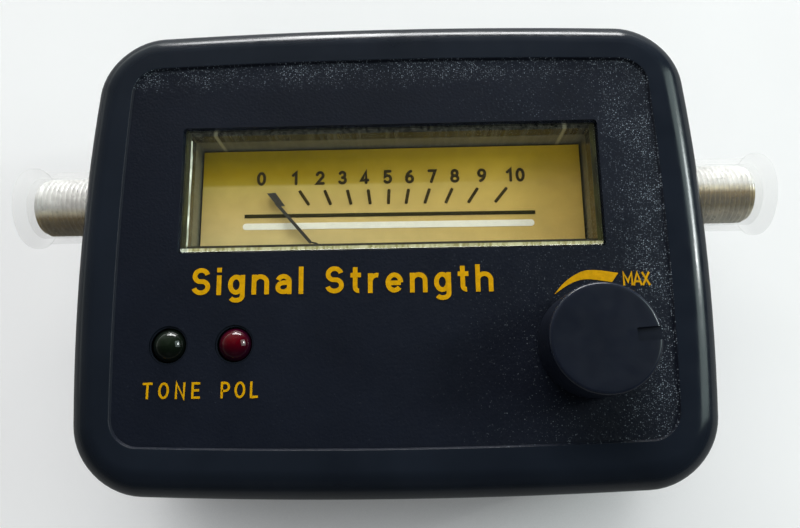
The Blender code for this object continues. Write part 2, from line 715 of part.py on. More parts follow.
def make_meter_cover():
    """Clear cover: raised pane in the window, flange behind the panel, pod over the movement."""
    joint = METER_JOINT + SEAT_GAP / 2
    side = WINDOW_WIDTH / 2 - SEAT_GAP
    low = WINDOW_LOW + SEAT_GAP
    high = WINDOW_HIGH - SEAT_GAP
    shoulder = PANEL_UNDERSIDE - SEAT_GAP
    pane = PANEL_FACE - COVER_SINK
    flange = box((-side - COVER_FLANGE, low - COVER_FLANGE, joint),
                 (side + COVER_FLANGE, high + COVER_FLANGE, shoulder))
    cover = add_piece("meter_cover", to_mesh("meter_cover", flange), (CLEAR, 0.05, 0.0, 0.9))
    join(cover, "raised_pane", box((-side, low, joint + OVERRUN), (side, high, pane)))
    pod = POD_HALF_WIDTH
    join(cover, "cover_pod", box((-pod, PIVOT_Y - pod, joint), (pod, WINDOW_LOW + OVERRUN, shoulder)))
    cut(cover, "pane_hollow", box((COVER_WALL - side, low + COVER_WALL, joint - OVERRUN),
                                  (side - COVER_WALL, high - COVER_WALL, pane - PANE_THICKNESS)))
    inner = pod - POD_WALL
    cut(cover, "pod_hollow", box((-inner, PIVOT_Y - inner, joint - OVERRUN),
                                 (inner, low + COVER_WALL + OVERRUN, shoulder - PANE_THICKNESS)))


def pod_floor():
    """Height of the inside bottom of the movement's pod."""
    return YOKE_BOTTOM - REAR_BRIDGE_DROP - BRIDGE_THICKNESS - SEAT_GAP - COVER_WALL


def dial_screw_places():
    """Middles of the two dial screws, beside the movement."""
    x = YOKE_RADIUS + POD_CLEARANCE - SEAT_GAP - DIAL_PILLAR / 2
    y = PIVOT_Y + YOKE_RADIUS + SEAT_GAP - DIAL_PILLAR * DIAL_PILLAR_DROP_SHARE
    return [(-x, y), (x, y)]


def make_meter_body():
    """Black housing behind the dial, with ledges for the movement and pillars for the dial."""
    joint = METER_JOINT - SEAT_GAP / 2
    side = METER_HALF_WIDTH
    low = WINDOW_LOW + SEAT_GAP - COVER_FLANGE
    high = WINDOW_HIGH - SEAT_GAP + COVER_FLANGE
    tray = box((-side, low, METER_JOINT - TRAY_DEPTH), (side, high, joint))
    body = add_piece("meter_body", to_mesh("meter_body", tray), (DARK, 0.6))
    pod = POD_HALF_WIDTH
    floor = pod_floor()
    inner = pod - POD_WALL
    tray_floor = METER_JOINT - TRAY_DEPTH + TRAY_FLOOR
    cut(body, "tray_hollow", box((POD_WALL - side, low + POD_WALL, tray_floor),
                                 (side - POD_WALL, high - POD_WALL, joint + OVERRUN)))
    join(body, "body_pod", box((-pod, PIVOT_Y - pod, floor - POD_WALL), (pod, PIVOT_Y + pod, joint)))
    cut(body, "body_pod_hollow", box((-inner, PIVOT_Y - inner, floor),
                                     (inner, PIVOT_Y + inner, joint + OVERRUN)))
    ledge_top = YOKE_BOTTOM - SEAT_GAP
    ledges = bmesh.new()
    for sign_x in (-1, 1):
        for sign_y in (-1, 1):
            edge_x = sorted((sign_x * (inner + POD_WALL / 2), sign_x * (inner - LEDGE_REACH)))
            edge_y = sorted((sign_y * (inner + POD_WALL / 2), sign_y * (inner - LEDGE_REACH)))
            box((edge_x[0], PIVOT_Y + edge_y[0], floor - POD_WALL / 2),
                (edge_x[1], PIVOT_Y + edge_y[1], ledge_top), ledges)
    join(body, "ledges", ledges)
    pillars = bmesh.new()
    pilots = bmesh.new()
    pillar_top = DIAL_FACE - DIAL_THICKNESS - SEAT_GAP
    reach = DIAL_PILLAR / 2
    for x, y in dial_screw_places():
        box((x - reach, y - reach, ledge_top - COIL_BAR), (x + reach, y + reach, pillar_top), pillars)
        upright(DIAL_SCREW_RADIUS + SEAT_GAP, x, y, pillar_top - DIAL_SCREW_LENGTH, pillar_top + OVERRUN,
                COARSE_STEPS, pilots)
    join(body, "dial_pillars", pillars)
    cut(body, "dial_pilots", pilots)
    supports = bmesh.new()
    for x in (-side * SUPPORT_SHARE, side * SUPPORT_SHARE):
        for y in (low + (high - low) * SUPPORT_LOW_SHARE, low + (high - low) * SUPPORT_HIGH_SHARE):
            upright(SUPPORT_RADIUS, x, y, tray_floor - TRAY_FLOOR / 2, pillar_top,
                    COARSE_STEPS, supports)
    join(body, "dial_supports", supports)
    holes = bmesh.new()
    for x in (-TERMINAL_X, TERMINAL_X):
        upright(TERMINAL_RADIUS + SEAT_GAP, x, PIVOT_Y - TERMINAL_REACH, floor - POD_WALL - OVERRUN,
                floor + OVERRUN, COARSE_STEPS, holes)
    cut(body, "terminal_holes", holes)


def make_dial_plate():
    """Thin metal dial with a narrow tab that the two screws hold."""
    side = WINDOW_WIDTH / 2 - 2 * SEAT_GAP - COVER_WALL
    low = WINDOW_LOW + 2 * SEAT_GAP + COVER_WALL
    high = WINDOW_HIGH - 2 * SEAT_GAP - COVER_WALL
    bottom = DIAL_FACE - DIAL_THICKNESS
    plate = add_piece("dial_plate", to_mesh("dial_plate", box((-side, low, bottom), (side, high, DIAL_FACE))),
                      (AMBER, 0.45))
    tab = YOKE_RADIUS + POD_CLEARANCE - SEAT_GAP
    join(plate, "dial_tab", box((-tab, low - DIAL_TAB_LENGTH, bottom), (tab, low + OVERRUN, DIAL_FACE)))
    holes = bmesh.new()
    for x, y in dial_screw_places():
        upright(DIAL_SCREW_RADIUS + SEAT_GAP, x, y, bottom - OVERRUN, DIAL_FACE + OVERRUN,
                COARSE_STEPS, holes)
    cut(plate, "dial_screw_holes", holes)
    mesh = screw_mesh("dial_screw", DIAL_SCREW_RADIUS, DIAL_SCREW_LENGTH - SEAT_GAP, DIAL_SCREW_HEAD,
                      DIAL_SCREW_HEAD / 2, (BRASS, 0.35, 1.0), cross=False)
    for name, (x, y) in zip(("dial_screw_left", "dial_screw_right"), dial_screw_places()):
        add_piece(name, mesh, None, (x, y, DIAL_FACE + SEAT_GAP), (math.pi, 0, 0))


def make_magnet():
    """Magnet core and the soft iron ring whose two webs hold it."""
    core = upright(CORE_RADIUS, 0, PIVOT_Y, YOKE_BOTTOM, YOKE_TOP)
    add_piece("magnet_core", to_mesh("magnet_core", core), (GREY, 0.4, 1.0))
    ring = turned("yoke_ring", [(YOKE_RADIUS, YOKE_TOP), (YOKE_RADIUS, YOKE_BOTTOM),
                                (YOKE_RADIUS - YOKE_WALL, YOKE_BOTTOM), (YOKE_RADIUS - YOKE_WALL, YOKE_TOP)],
                  (STEEL, 0.4, 1.0), (0, PIVOT_Y, 0), closed=True)
    webs = bmesh.new()
    inner = CORE_RADIUS * WEB_START_SHARE
    outer = YOKE_RADIUS - YOKE_WALL / 2
    for start, end in ((inner, outer), (-outer, -inner)):
        box((-YOKE_WEB / 2, PIVOT_Y + start, YOKE_BOTTOM), (YOKE_WEB / 2, PIVOT_Y + end, YOKE_TOP), webs)
    join(ring, "webs", webs)
    cut(ring, "core_seat", upright(CORE_RADIUS + SEAT_GAP, 0, PIVOT_Y, YOKE_BOTTOM - OVERRUN,
                                   YOKE_TOP + OVERRUN))


def coil_heights():
    """Lowest and highest point of the coil frame."""
    return YOKE_BOTTOM - COIL_GAP - COIL_BAR, YOKE_TOP + COIL_GAP + COIL_BAR


def make_moving_coil():
    """Flat wound frame that turns round the core, across the webs at half swing."""
    low, high = coil_heights()
    inner = CORE_RADIUS + COIL_SIDE_GAP
    outer = inner + COIL_SIDE
    frame = box((-outer, -COIL_DEPTH / 2, low), (outer, COIL_DEPTH / 2, high))
    place = (0, PIVOT_Y, 0)
    turn = (0, 0, POINTER_REST)
    coil = add_piece("moving_coil", to_mesh("moving_coil", frame), (COPPER, 0.4, 1.0), place, turn)
    opening = box((-inner, -COIL_DEPTH / 2 - OVERRUN, low + COIL_BAR),
                  (inner, COIL_DEPTH / 2 + OVERRUN, high - COIL_BAR))
    combine(coil, add_tool("coil_opening", to_mesh("coil_opening", opening), place, turn), "DIFFERENCE")


def front_bridge_bottom():
    return DIAL_FACE + FRONT_BRIDGE_RISE


def rear_bridge_top():
    return YOKE_BOTTOM - REAR_BRIDGE_DROP


def make_pivots():
    """Two short pointed shafts on the coil, and the jewel screws they run in."""
    low, high = coil_heights()
    upper_tip = front_bridge_bottom() - SEAT_GAP
    lower_tip = rear_bridge_top() + SEAT_GAP
    taper = PIVOT_RADIUS * 2
    look = (STEEL, 0.25, 1.0)
    upper = [(0, upper_tip), (PIVOT_TIP_RADIUS, upper_tip), (PIVOT_RADIUS, upper_tip - taper),
             (PIVOT_RADIUS, high + SEAT_GAP), (0, high + SEAT_GAP)]
    lower = [(0, low - SEAT_GAP), (PIVOT_RADIUS, low - SEAT_GAP), (PIVOT_RADIUS, lower_tip + taper / 2),
             (PIVOT_TIP_RADIUS, lower_tip), (0, lower_tip)]
    turned("pivot_upper", upper, look, (0, PIVOT_Y, 0), steps=COARSE_STEPS)
    turned("pivot_lower", lower, look, (0, PIVOT_Y, 0), steps=COARSE_STEPS)
    brass = (BRASS, 0.3, 1.0)
    front = jewel_screw("jewel_screw_front", brass)
    front.location = (0, PIVOT_Y, front_bridge_bottom())
    rear = jewel_screw("jewel_screw_rear", brass)
    rear.location = (0, PIVOT_Y, rear_bridge_top())
    rear.rotation_euler = (math.pi, 0, 0)


def jewel_screw(name, look):
    """Short plug with a slotted head, its bearing face at height 0."""
    mesh = turned_profile(name, [(0, JEWEL_LENGTH), (JEWEL_RADIUS, JEWEL_LENGTH), (JEWEL_RADIUS, 0), (0, 0)])
    plug = add_piece(name, mesh, look)
    turn_round(plug, COARSE_STEPS)
    slot = box((-2 * JEWEL_RADIUS, -PIVOT_TIP_RADIUS, JEWEL_LENGTH - 2 * PIVOT_TIP_RADIUS),
               (2 * JEWEL_RADIUS, PIVOT_TIP_RADIUS, JEWEL_LENGTH + OVERRUN))
    tool = add_tool(name + "_slot", to_mesh(name + "_slot", slot))
    tool.parent = plug
    combine(plug, tool, "DIFFERENCE")
    return plug


def make_bridges():
    """Front and rear strap over the movement, each a bar on two legs."""
    leg_x = YOKE_RADIUS - YOKE_WALL
    look = (BRASS, 0.4, 1.0)
    bottom = front_bridge_bottom()
    bridge_strap("bridge_front", leg_x, bottom, bottom + BRIDGE_THICKNESS, YOKE_TOP + SEAT_GAP, look)
    top = rear_bridge_top()
    bridge_strap("bridge_rear", leg_x, top - BRIDGE_THICKNESS, top, YOKE_BOTTOM - SEAT_GAP, look)


def bridge_strap(name, leg_x, bottom, top, foot, look):
    """Bar across the pivot with legs that reach the yoke at height foot."""
    half = BRIDGE_WIDTH / 2
    bar = box((-YOKE_RADIUS, PIVOT_Y - half, bottom), (YOKE_RADIUS, PIVOT_Y + half, top))
    strap = add_piece(name, to_mesh(name, bar), look)
    legs = bmesh.new()
    low, high = sorted((foot, (bottom + top) / 2))
    for start, end in ((-YOKE_RADIUS, -leg_x), (leg_x, YOKE_RADIUS)):
        box((start, PIVOT_Y - half, low), (end, PIVOT_Y + half, high), legs)
    join(strap, name + "_legs", legs)
    cut(strap, name + "_hole", upright(JEWEL_RADIUS + SEAT_GAP, 0, PIVOT_Y, bottom - OVERRUN,
                                       top + OVERRUN, COARSE_STEPS))


def make_hairsprings():
    """Flat spirals between the pivots and the bridges."""
    low, high = coil_heights()
    upper = front_bridge_bottom() - SEAT_GAP - SPRING_WIRE
    lower = (low + rear_bridge_top()) / 2
    start = PIVOT_RADIUS + SEAT_GAP + SPRING_WIRE
    steps = SPRING_STEPS * SPRING_TURNS
    for name, height in (("hairspring_upper", upper), ("hairspring_lower", lower)):
        points = []
        for index in range(steps + 1):
            share = index / steps
            radius = start + (SPRING_RADIUS - start) * share
            angle = 2 * math.pi * SPRING_TURNS * share
            points.append((radius * math.cos(angle), PIVOT_Y + radius * math.sin(angle), height))
        add_piece(name, tube_mesh(name, points, SPRING_WIRE, 0), (BRASS, 0.3, 1.0))


def pointer_direction(angle):
    """Unit direction at an angle left of straight up."""
    return Vector((-math.sin(angle), math.cos(angle), 0))


def make_pointer():
    """Needle with a flag at its tip, a small crank, a hub and a balancing tail."""
    height = DIAL_FACE + POINTER_RISE
    hub_top = height + POINTER_HUB_HEIGHT / 2
    hub_bottom = height - POINTER_HUB_HEIGHT / 2
    bore = PIVOT_RADIUS + SEAT_GAP
    hub = turned("pointer", [(POINTER_HUB_RADIUS, hub_top), (POINTER_HUB_RADIUS, hub_bottom),
                             (bore, hub_bottom), (bore, hub_top)], (DARK, 0.5), (0, PIVOT_Y, 0),
                 closed=True, steps=COARSE_STEPS)
    along = pointer_direction(POINTER_REST)
    across = Vector((along.y, -along.x, 0))
    middle = Vector((0, PIVOT_Y, height))
    hub_edge = (bore + POINTER_HUB_RADIUS) / 2
    inner = middle + across * POINTER_CRANK_STEP + along * hub_edge
    crank = middle + across * POINTER_CRANK_STEP + along * (POINTER_CRANK_AT - POINTER_CRANK_RUN)
    bend = middle + along * POINTER_CRANK_AT
    tip = middle + along * (POINTER_LENGTH - POINTER_FLAG_WIDTH / 4)
    halfway = (crank + bend) / 2 + across * POINTER_CRANK_STEP * CRANK_SWELL_SHARE
    join_mesh(hub, "needle", tube_mesh("needle", (inner, crank, halfway, bend, tip), POINTER_WIRE, 1))
    flag = box((0, -POINTER_FLAG_LENGTH, -POINTER_FLAG_THICKNESS / 2),
               (POINTER_FLAG_WIDTH, 0, POINTER_FLAG_THICKNESS / 2))
    for corner in flag.verts:
        corner.co.y += POINTER_FLAG_SLANT_SHARE * (corner.co.x - POINTER_FLAG_WIDTH)
    place = Matrix.Translation(middle + along * POINTER_LENGTH) @ Matrix.Rotation(POINTER_REST, 4, "Z")
    bmesh.ops.transform(flag, matrix=place @ Matrix.Translation((-POINTER_WIRE, 0, 0)), verts=flag.verts)
    join(hub, "flag", flag)
    tail_start = middle - along * hub_edge
    tail_end = middle - along * POINTER_TAIL
    join(hub, "tail", rod(POINTER_WIRE, tail_start, tail_end, COARSE_STEPS // 2))
    join(hub, "tail_weight", rod(POINTER_WEIGHT_RADIUS * TAIL_WEIGHT_SHARE,
                                 middle - along * (POINTER_TAIL - POINTER_WEIGHT_RADIUS),
                                 middle - along * (POINTER_TAIL + POINTER_WEIGHT_RADIUS), COARSE_STEPS))


def join_mesh(piece, name, mesh):
    combine(piece, add_tool(name, mesh), "UNION")


def make_terminals_and_wires():
    """Two pins through the pod's floor and the wires from them to the board."""
    floor = pod_floor()
    y = PIVOT_Y - TERMINAL_REACH
    wire_start = floor - POD_WALL - TERMINAL_BELOW - SEAT_GAP
    for name, side, sleeve in (("left", -1, RED), ("right", 1, DARK)):
        x = side * TERMINAL_X
        pin = upright(TERMINAL_RADIUS, x, y, wire_start + SEAT_GAP, floor + TERMINAL_ABOVE, COARSE_STEPS)
        add_piece(f"meter_terminal_{name}", to_mesh(f"meter_terminal_{name}", pin), (BRASS, 0.35, 1.0))
        end_x = side * (POD_HALF_WIDTH + WIRE_BESIDE_POD)
        control = ((x, y, wire_start), (x, y, wire_start - WIRE_SAG / 2),
                   (end_x, PIVOT_Y, wire_start - WIRE_SAG),
                   (end_x, PIVOT_Y, BOARD_BOTTOM - SEAT_GAP))
        wire = tube_mesh(f"meter_wire_{name}", bezier_points(control, WIRE_POINTS), WIRE_RADIUS, 1)
        add_piece(f"meter_wire_{name}", wire, (sleeve, 0.5))


def make_circuit_board():
    """Board round the movement's pod, stepped in beside the sockets."""
    plate = box((-BOARD_HALF_WIDTH, BOARD_LOW, BOARD_BOTTOM), (BOARD_HALF_WIDTH, BOARD_STEP, BOARD_TOP))
    board = add_piece("circuit_board", to_mesh("circuit_board", plate), (BOARD_GREEN, 0.4))
    join(board, "board_neck", box((-BOARD_NECK, BOARD_STEP - OVERRUN, BOARD_BOTTOM),
                                  (BOARD_NECK, BOARD_HIGH, BOARD_TOP)))
    pod = POD_HALF_WIDTH + 2 * SEAT_GAP
    cut(board, "pod_cutout", box((-pod, BOARD_LOW - OVERRUN, BOARD_BOTTOM - OVERRUN),
                                 (pod, PIVOT_Y + pod, BOARD_TOP + OVERRUN)))
    holes = bmesh.new()
    for x, y in pillar_places():
        board_hole(holes, x, y, BOARD_SCREW_RADIUS + SEAT_GAP)
    for x in (LED_GREEN_X, LED_RED_X):
        for side in (-1, 1):
            board_hole(holes, x + side * LED_LEAD_PITCH / 2, LED_Y, LED_LEAD / 2 + 2 * SEAT_GAP)
    for side in (-1, 1):
        board_hole(holes, side * CONTACT_FOOT, SOCKET_Y, CONTACT_RADIUS + SEAT_GAP)
    cut(board, "board_holes", holes)


def board_hole(shape, x, y, radius):
    upright(radius, x, y, BOARD_BOTTOM - OVERRUN, BOARD_TOP + OVERRUN, COARSE_STEPS, shape)


def thread_profile(start, end):
    """Zigzag of crests and roots down to the case wall, then a plain neck, far end first."""
    root = THREAD_RADIUS - THREAD_DEPTH
    count = int((end - CASE_WIDTH / 2 + CASE_WALL / 2) / THREAD_PITCH)
    points = [(root, end)]
    for index in range(count):
        crest = end - (index + 0.5) * THREAD_PITCH
        points.append((THREAD_RADIUS, crest))
        points.append((root, crest - THREAD_PITCH / 2))
    points.append((root, start))
    return points


def make_sockets():
    """Threaded barrels with their insulators and centre contacts."""
    flange_start = SOCKET_START - SOCKET_FLANGE_THICKNESS
    tail = SOCKET_TAIL_END
    tail_radius = SOCKET_BORE + SOCKET_TAIL_WALL
    outline = thread_profile(SOCKET_START, SOCKET_END)
    outline += [(SOCKET_FLANGE_RADIUS, SOCKET_START), (SOCKET_FLANGE_RADIUS, flange_start),
                (tail_radius, flange_start), (tail_radius, tail),
                (SOCKET_BORE, tail), (SOCKET_BORE, SOCKET_END)]
    plug_end = SOCKET_END - SOCKET_RECESS
    plug_radius = SOCKET_BORE - SEAT_GAP
    way = CONTACT_RADIUS + SEAT_GAP
    plug = [(plug_radius, plug_end), (plug_radius, tail), (way, tail), (way, plug_end)]
    for name, side in (("left", -1), ("right", 1)):
        turn = (0, side * math.pi / 2, 0)
        place = (0, SOCKET_Y, PARTING_HEIGHT)
        turned(f"socket_{name}", outline, (NICKEL, 0.25, 1.0), place, turn, closed=True, steps=THREAD_STEPS)
        turned(f"socket_insulator_{name}", plug, (CREAM, 0.5), place, turn, closed=True, steps=COARSE_STEPS)
        foot = CONTACT_FOOT
        bend = CONTACT_RADIUS * 2
        path = [(side * (plug_end - SOCKET_RECESS), SOCKET_Y, PARTING_HEIGHT),
                (side * (foot + bend), SOCKET_Y, PARTING_HEIGHT),
                (side * (foot + bend / 4), SOCKET_Y, PARTING_HEIGHT - bend / 4),
                (side * foot, SOCKET_Y, PARTING_HEIGHT - bend),
                (side * foot, SOCKET_Y, BOARD_BOTTOM - LED_LEAD_PAST_BOARD)]
        add_piece(f"socket_contact_{name}", tube_mesh(f"socket_contact_{name}", path, CONTACT_RADIUS, 1),
                  (BRASS, 0.3, 1.0))


def make_caps():
    """Clear push-on caps, each with a wider rim at its closed end."""
    mouth = CASE_WIDTH / 2 + CAP_MOUTH_GAP
    floor = CAP_END - CAP_END_THICKNESS
    edge = CAP_END_THICKNESS / 4
    outline = [(0, CAP_END), (CAP_FLANGE_RADIUS - edge, CAP_END), (CAP_FLANGE_RADIUS, CAP_END - edge),
               (CAP_FLANGE_RADIUS, floor + edge), (CAP_OUTER_RADIUS, floor - edge), (CAP_OUTER_RADIUS, mouth),
               (CAP_BORE, mouth), (CAP_BORE, floor), (0, floor)]
    for name, side in (("left", -1), ("right", 1)):
        turned(f"cap_{name}", outline, (CLEAR, 0.2, 0.0, 0.8), (0, SOCKET_Y, PARTING_HEIGHT),
               (0, side * math.pi / 2, 0), steps=ROUND_STEPS)


def make_leds():
    """Two domed 5 mm LEDs with square leads."""
    top = PANEL_FACE + LED_PROUD
    base = top - LED_BODY
    shoulder = top - LED_RADIUS
    outline = []
    for step in range(FILLET_STEPS * 2 + 1):
        angle = math.pi / 2 * (1 - step / (FILLET_STEPS * 2))
        outline.append((LED_RADIUS * math.cos(angle) if step else 0, shoulder + LED_RADIUS * math.sin(angle)))
    rim = LED_RADIUS + LED_FLANGE
    outline += [(LED_RADIUS, base + LED_FLANGE_HEIGHT), (rim, base + LED_FLANGE_HEIGHT),
                (rim, base), (0, base)]
    for name, x, colour in (("led_green", LED_GREEN_X, GREEN), ("led_red", LED_RED_X, RED)):
        led = turned(name, outline, (colour, 0.1, 0.0, 0.6), (x, LED_Y, 0), steps=ROUND_STEPS)
        leads = bmesh.new()
        for side in (-1, 1):
            middle = x + side * LED_LEAD_PITCH / 2
            box((middle - LED_LEAD / 2, LED_Y - LED_LEAD / 2, BOARD_BOTTOM - LED_LEAD_PAST_BOARD),
                (middle + LED_LEAD / 2, LED_Y + LED_LEAD / 2, base + LED_FLANGE_HEIGHT), leads)
        join(led, name + "_leads", leads)


def make_potentiometer():
    """Housing with a bushing, and the shaft and wiper that turn in it."""
    bottom = BOARD_TOP + SEAT_GAP
    top = bottom + POT_HEIGHT
    bushing_top = PANEL_FACE - BUSHING_BELOW_FACE
    bore = SHAFT_RADIUS + SEAT_GAP
    inside = POT_RADIUS - POT_WALL
    outline = [(BUSHING_RADIUS, bushing_top), (BUSHING_RADIUS, top), (POT_RADIUS, top), (POT_RADIUS, bottom),
               (0, bottom), (0, bottom + POT_WALL), (inside, bottom + POT_WALL), (inside, top - POT_WALL),
               (bore, top - POT_WALL), (bore, bushing_top)]
    place = (KNOB_X, KNOB_Y, 0)
    turned("potentiometer_housing", outline, (GREY, 0.4, 1.0), place, closed=True)
    foot = bottom + POT_WALL + SHAFT_FOOT
    shaft_top = knob_bottom() + KNOB_HEIGHT - KNOB_TOP_WALL - SEAT_GAP
    shaft = [(0, shaft_top), (SHAFT_RADIUS, shaft_top), (SHAFT_RADIUS, foot - SEAT_GAP), (0, foot - SEAT_GAP)]
    turned("potentiometer_shaft", shaft, (CREAM, 0.5), place)
    reach = inside - WIPER_GAP
    wiper = [(reach, foot + WIPER_THICKNESS), (reach, foot), (bore, foot), (bore, foot + WIPER_THICKNESS)]
    turned("potentiometer_wiper", wiper, (DARK, 0.5), place, closed=True)


def knob_bottom():
    return PANEL_FACE + KNOB_LIFT


def make_knob():
    """Hollow knob with a central boss on the shaft and a pointer slot in its top."""
    bottom = knob_bottom()
    top = bottom + KNOB_HEIGHT
    roof = top - KNOB_TOP_WALL
    bore = SHAFT_RADIUS + SEAT_GAP
    skirt = KNOB_RADIUS - KNOB_SKIRT
    boss = bore + KNOB_BOSS_WALL
    boss_bottom = roof - SHAFT_GRIP
    outline = [(0, top), (KNOB_RADIUS - KNOB_TAPER - KNOB_EDGE, top),
               (KNOB_RADIUS - KNOB_TAPER - KNOB_EDGE * EDGE_SHARE, top - KNOB_EDGE * EDGE_SHARE),
               (KNOB_RADIUS - KNOB_TAPER, top - KNOB_EDGE), (KNOB_RADIUS, bottom), (skirt, bottom),
               (skirt, roof), (boss, roof), (boss, boss_bottom), (bore, boss_bottom),
               (bore, roof), (0, roof)]
    knob = turned("knob", outline, (BLACK, 0.4), (KNOB_X, KNOB_Y, 0), steps=FINE_STEPS)
    slot = box((KNOB_RADIUS - KNOB_SLOT_LENGTH, -KNOB_SLOT_WIDTH / 2, top - KNOB_SLOT_DEPTH),
               (KNOB_RADIUS + OVERRUN, KNOB_SLOT_WIDTH / 2, top + OVERRUN))
    name = "pointer_slot"
    tool = add_tool(name, to_mesh(name, slot), (KNOB_X, KNOB_Y, 0), (0, 0, KNOB_SLOT_TURN))
    combine(knob, tool, "DIFFERENCE")


def make_lower_components():
    """The larger components, hung under the board."""
    top = BOARD_BOTTOM - SEAT_GAP
    chip = add_piece("comparator_chip", to_mesh("comparator_chip", box(
        (-CHIP_LENGTH / 2, CHIP_Y - CHIP_WIDTH / 2, top - CHIP_HEIGHT),
        (CHIP_LENGTH / 2, CHIP_Y + CHIP_WIDTH / 2, top - CHIP_PIN_WIDTH))), (DARK, 0.5))
    pins = bmesh.new()
    for side in (-1, 1):
        edges = sorted((side * (CHIP_WIDTH / 2 - CHIP_PIN_WIDTH), side * (CHIP_WIDTH / 2 + CHIP_PIN_REACH)))
        for index in range(CHIP_PINS):
            x = (index - (CHIP_PINS - 1) / 2) * CHIP_PIN_PITCH
            box((x - CHIP_PIN_WIDTH / 2, CHIP_Y + edges[0], top - CHIP_HEIGHT / 2),
                (x + CHIP_PIN_WIDTH / 2, CHIP_Y + edges[1], top), pins)
    join(chip, "chip_pins", pins)
    make_regulator(top)
    for name, room, y, radius, floor_gap in (
            ("capacitor_large", LARGE_CAPACITOR_BESIDE_POD, LARGE_CAPACITOR_Y, LARGE_CAPACITOR_RADIUS,
             LARGE_CAPACITOR_FLOOR_GAP),
            ("capacitor_small", SMALL_CAPACITOR_BESIDE_POD, SMALL_CAPACITOR_Y, SMALL_CAPACITOR_RADIUS,
             SMALL_CAPACITOR_FLOOR_GAP)):
        edge = radius / 8
        waist = top - radius / 2
        end = CASE_WALL + floor_gap
        outline = [(0, top), (radius - edge, top), (radius, top - edge), (radius, waist + edge),
                   (radius - edge, waist), (radius, waist - edge), (radius, end + edge),
                   (radius - edge, end), (0, end)]
        turned(name, outline, (BLUE_SLEEVE, 0.35), (-POD_HALF_WIDTH - room, y, 0), steps=POST_STEPS)
    waist = CHOKE_RADIUS - CHOKE_WAIST
    drum = [(0, top), (CHOKE_RADIUS, top), (CHOKE_RADIUS, top - CHOKE_FLANGE), (waist, top - CHOKE_FLANGE),
            (waist, top - CHOKE_HEIGHT + CHOKE_FLANGE), (CHOKE_RADIUS, top - CHOKE_HEIGHT + CHOKE_FLANGE),
            (CHOKE_RADIUS, top - CHOKE_HEIGHT), (0, top - CHOKE_HEIGHT)]
    turned("choke", drum, (GREY, 0.6), (-POD_HALF_WIDTH - CHOKE_BESIDE_POD, CHOKE_Y, 0), steps=POST_STEPS)
    make_trimmer(top)


def make_regulator(top):
    """Voltage regulator lying against the board, with its holed tab."""
    bottom = top - REGULATOR_HEIGHT
    side = REGULATOR_WIDTH / 2
    body = box((REGULATOR_X - side, REGULATOR_Y - REGULATOR_LENGTH / 2, bottom),
               (REGULATOR_X + side, REGULATOR_Y + REGULATOR_LENGTH / 2, top))
    regulator = add_piece("voltage_regulator", to_mesh("voltage_regulator", body), (DARK, 0.45))
    tab_low = REGULATOR_Y - REGULATOR_LENGTH / 2 - REGULATOR_TAB_LENGTH
    tab = box((REGULATOR_X - side, tab_low, bottom),
              (REGULATOR_X + side, tab_low + REGULATOR_TAB_LENGTH + OVERRUN, bottom + REGULATOR_TAB_HEIGHT))
    join(regulator, "regulator_tab", tab)
    cut(regulator, "regulator_hole",
        upright(REGULATOR_HOLE, REGULATOR_X, tab_low + REGULATOR_TAB_LENGTH / 2, bottom - OVERRUN,
                bottom + REGULATOR_TAB_HEIGHT + OVERRUN, COARSE_STEPS))


def make_trimmer(top):
    """Square trimmer whose slotted rotor faces the back."""
    half = TRIMMER_SIZE / 2
    bottom = top - TRIMMER_HEIGHT
    trimmer = add_piece("trimmer", to_mesh("trimmer", box(
        (TRIMMER_X - half, TRIMMER_Y - half, bottom), (TRIMMER_X + half, TRIMMER_Y + half, top))),
                        (BLUE_SLEEVE, 0.4))
    join(trimmer, "trimmer_rotor", upright(TRIMMER_ROTOR, TRIMMER_X, TRIMMER_Y, bottom - TRIMMER_ROTOR_HEIGHT,
                                           bottom + TRIMMER_ROTOR_HEIGHT, COARSE_STEPS))
    slot_low = bottom - TRIMMER_ROTOR_HEIGHT - OVERRUN
    slot_high = bottom - TRIMMER_SLOT_FLOOR
    cut(trimmer, "trimmer_slot", box((TRIMMER_X - half, TRIMMER_Y - TRIMMER_SLOT / 2, slot_low),
                                     (TRIMMER_X + half, TRIMMER_Y + TRIMMER_SLOT / 2, slot_high)))


def make_upper_components():
    """Small transistors and resistors on the board's top."""
    bottom = BOARD_TOP + SEAT_GAP
    for name, x in (("transistor_left", TRANSISTOR_LEFT_X), ("transistor_right", TRANSISTOR_RIGHT_X)):
        can = upright(TRANSISTOR_RADIUS, x, TRANSISTOR_Y, bottom, bottom + TRANSISTOR_HEIGHT)
        transistor = add_piece(name, to_mesh(name, can), (DARK, 0.5))
        flat = TRANSISTOR_Y + TRANSISTOR_RADIUS * TRANSISTOR_FLAT_SHARE
        cut(transistor, name + "_flat", box((x - TRANSISTOR_RADIUS - OVERRUN, flat, bottom - OVERRUN),
                                            (x + TRANSISTOR_RADIUS + OVERRUN, flat + TRANSISTOR_RADIUS,
                                             bottom + TRANSISTOR_HEIGHT + OVERRUN)))
    waist = RESISTOR_RADIUS - RESISTOR_CAP / 2
    end = RESISTOR_LENGTH / 2
    outline = [(0, end), (RESISTOR_RADIUS, end - RESISTOR_CAP), (RESISTOR_RADIUS, end - 4 * RESISTOR_CAP),
               (waist, end - 5 * RESISTOR_CAP), (waist, 5 * RESISTOR_CAP - end),
               (RESISTOR_RADIUS, 4 * RESISTOR_CAP - end), (RESISTOR_RADIUS, RESISTOR_CAP - end), (0, -end)]
    for index in (1, 2):
        y = RESISTOR_Y - (index - 1) * RESISTOR_PITCH
        turned(f"resistor_{index}", outline, (TAN, 0.5), (RESISTOR_X, y, bottom + RESISTOR_RADIUS),
               (0, math.pi / 2, 0), steps=COARSE_STEPS)


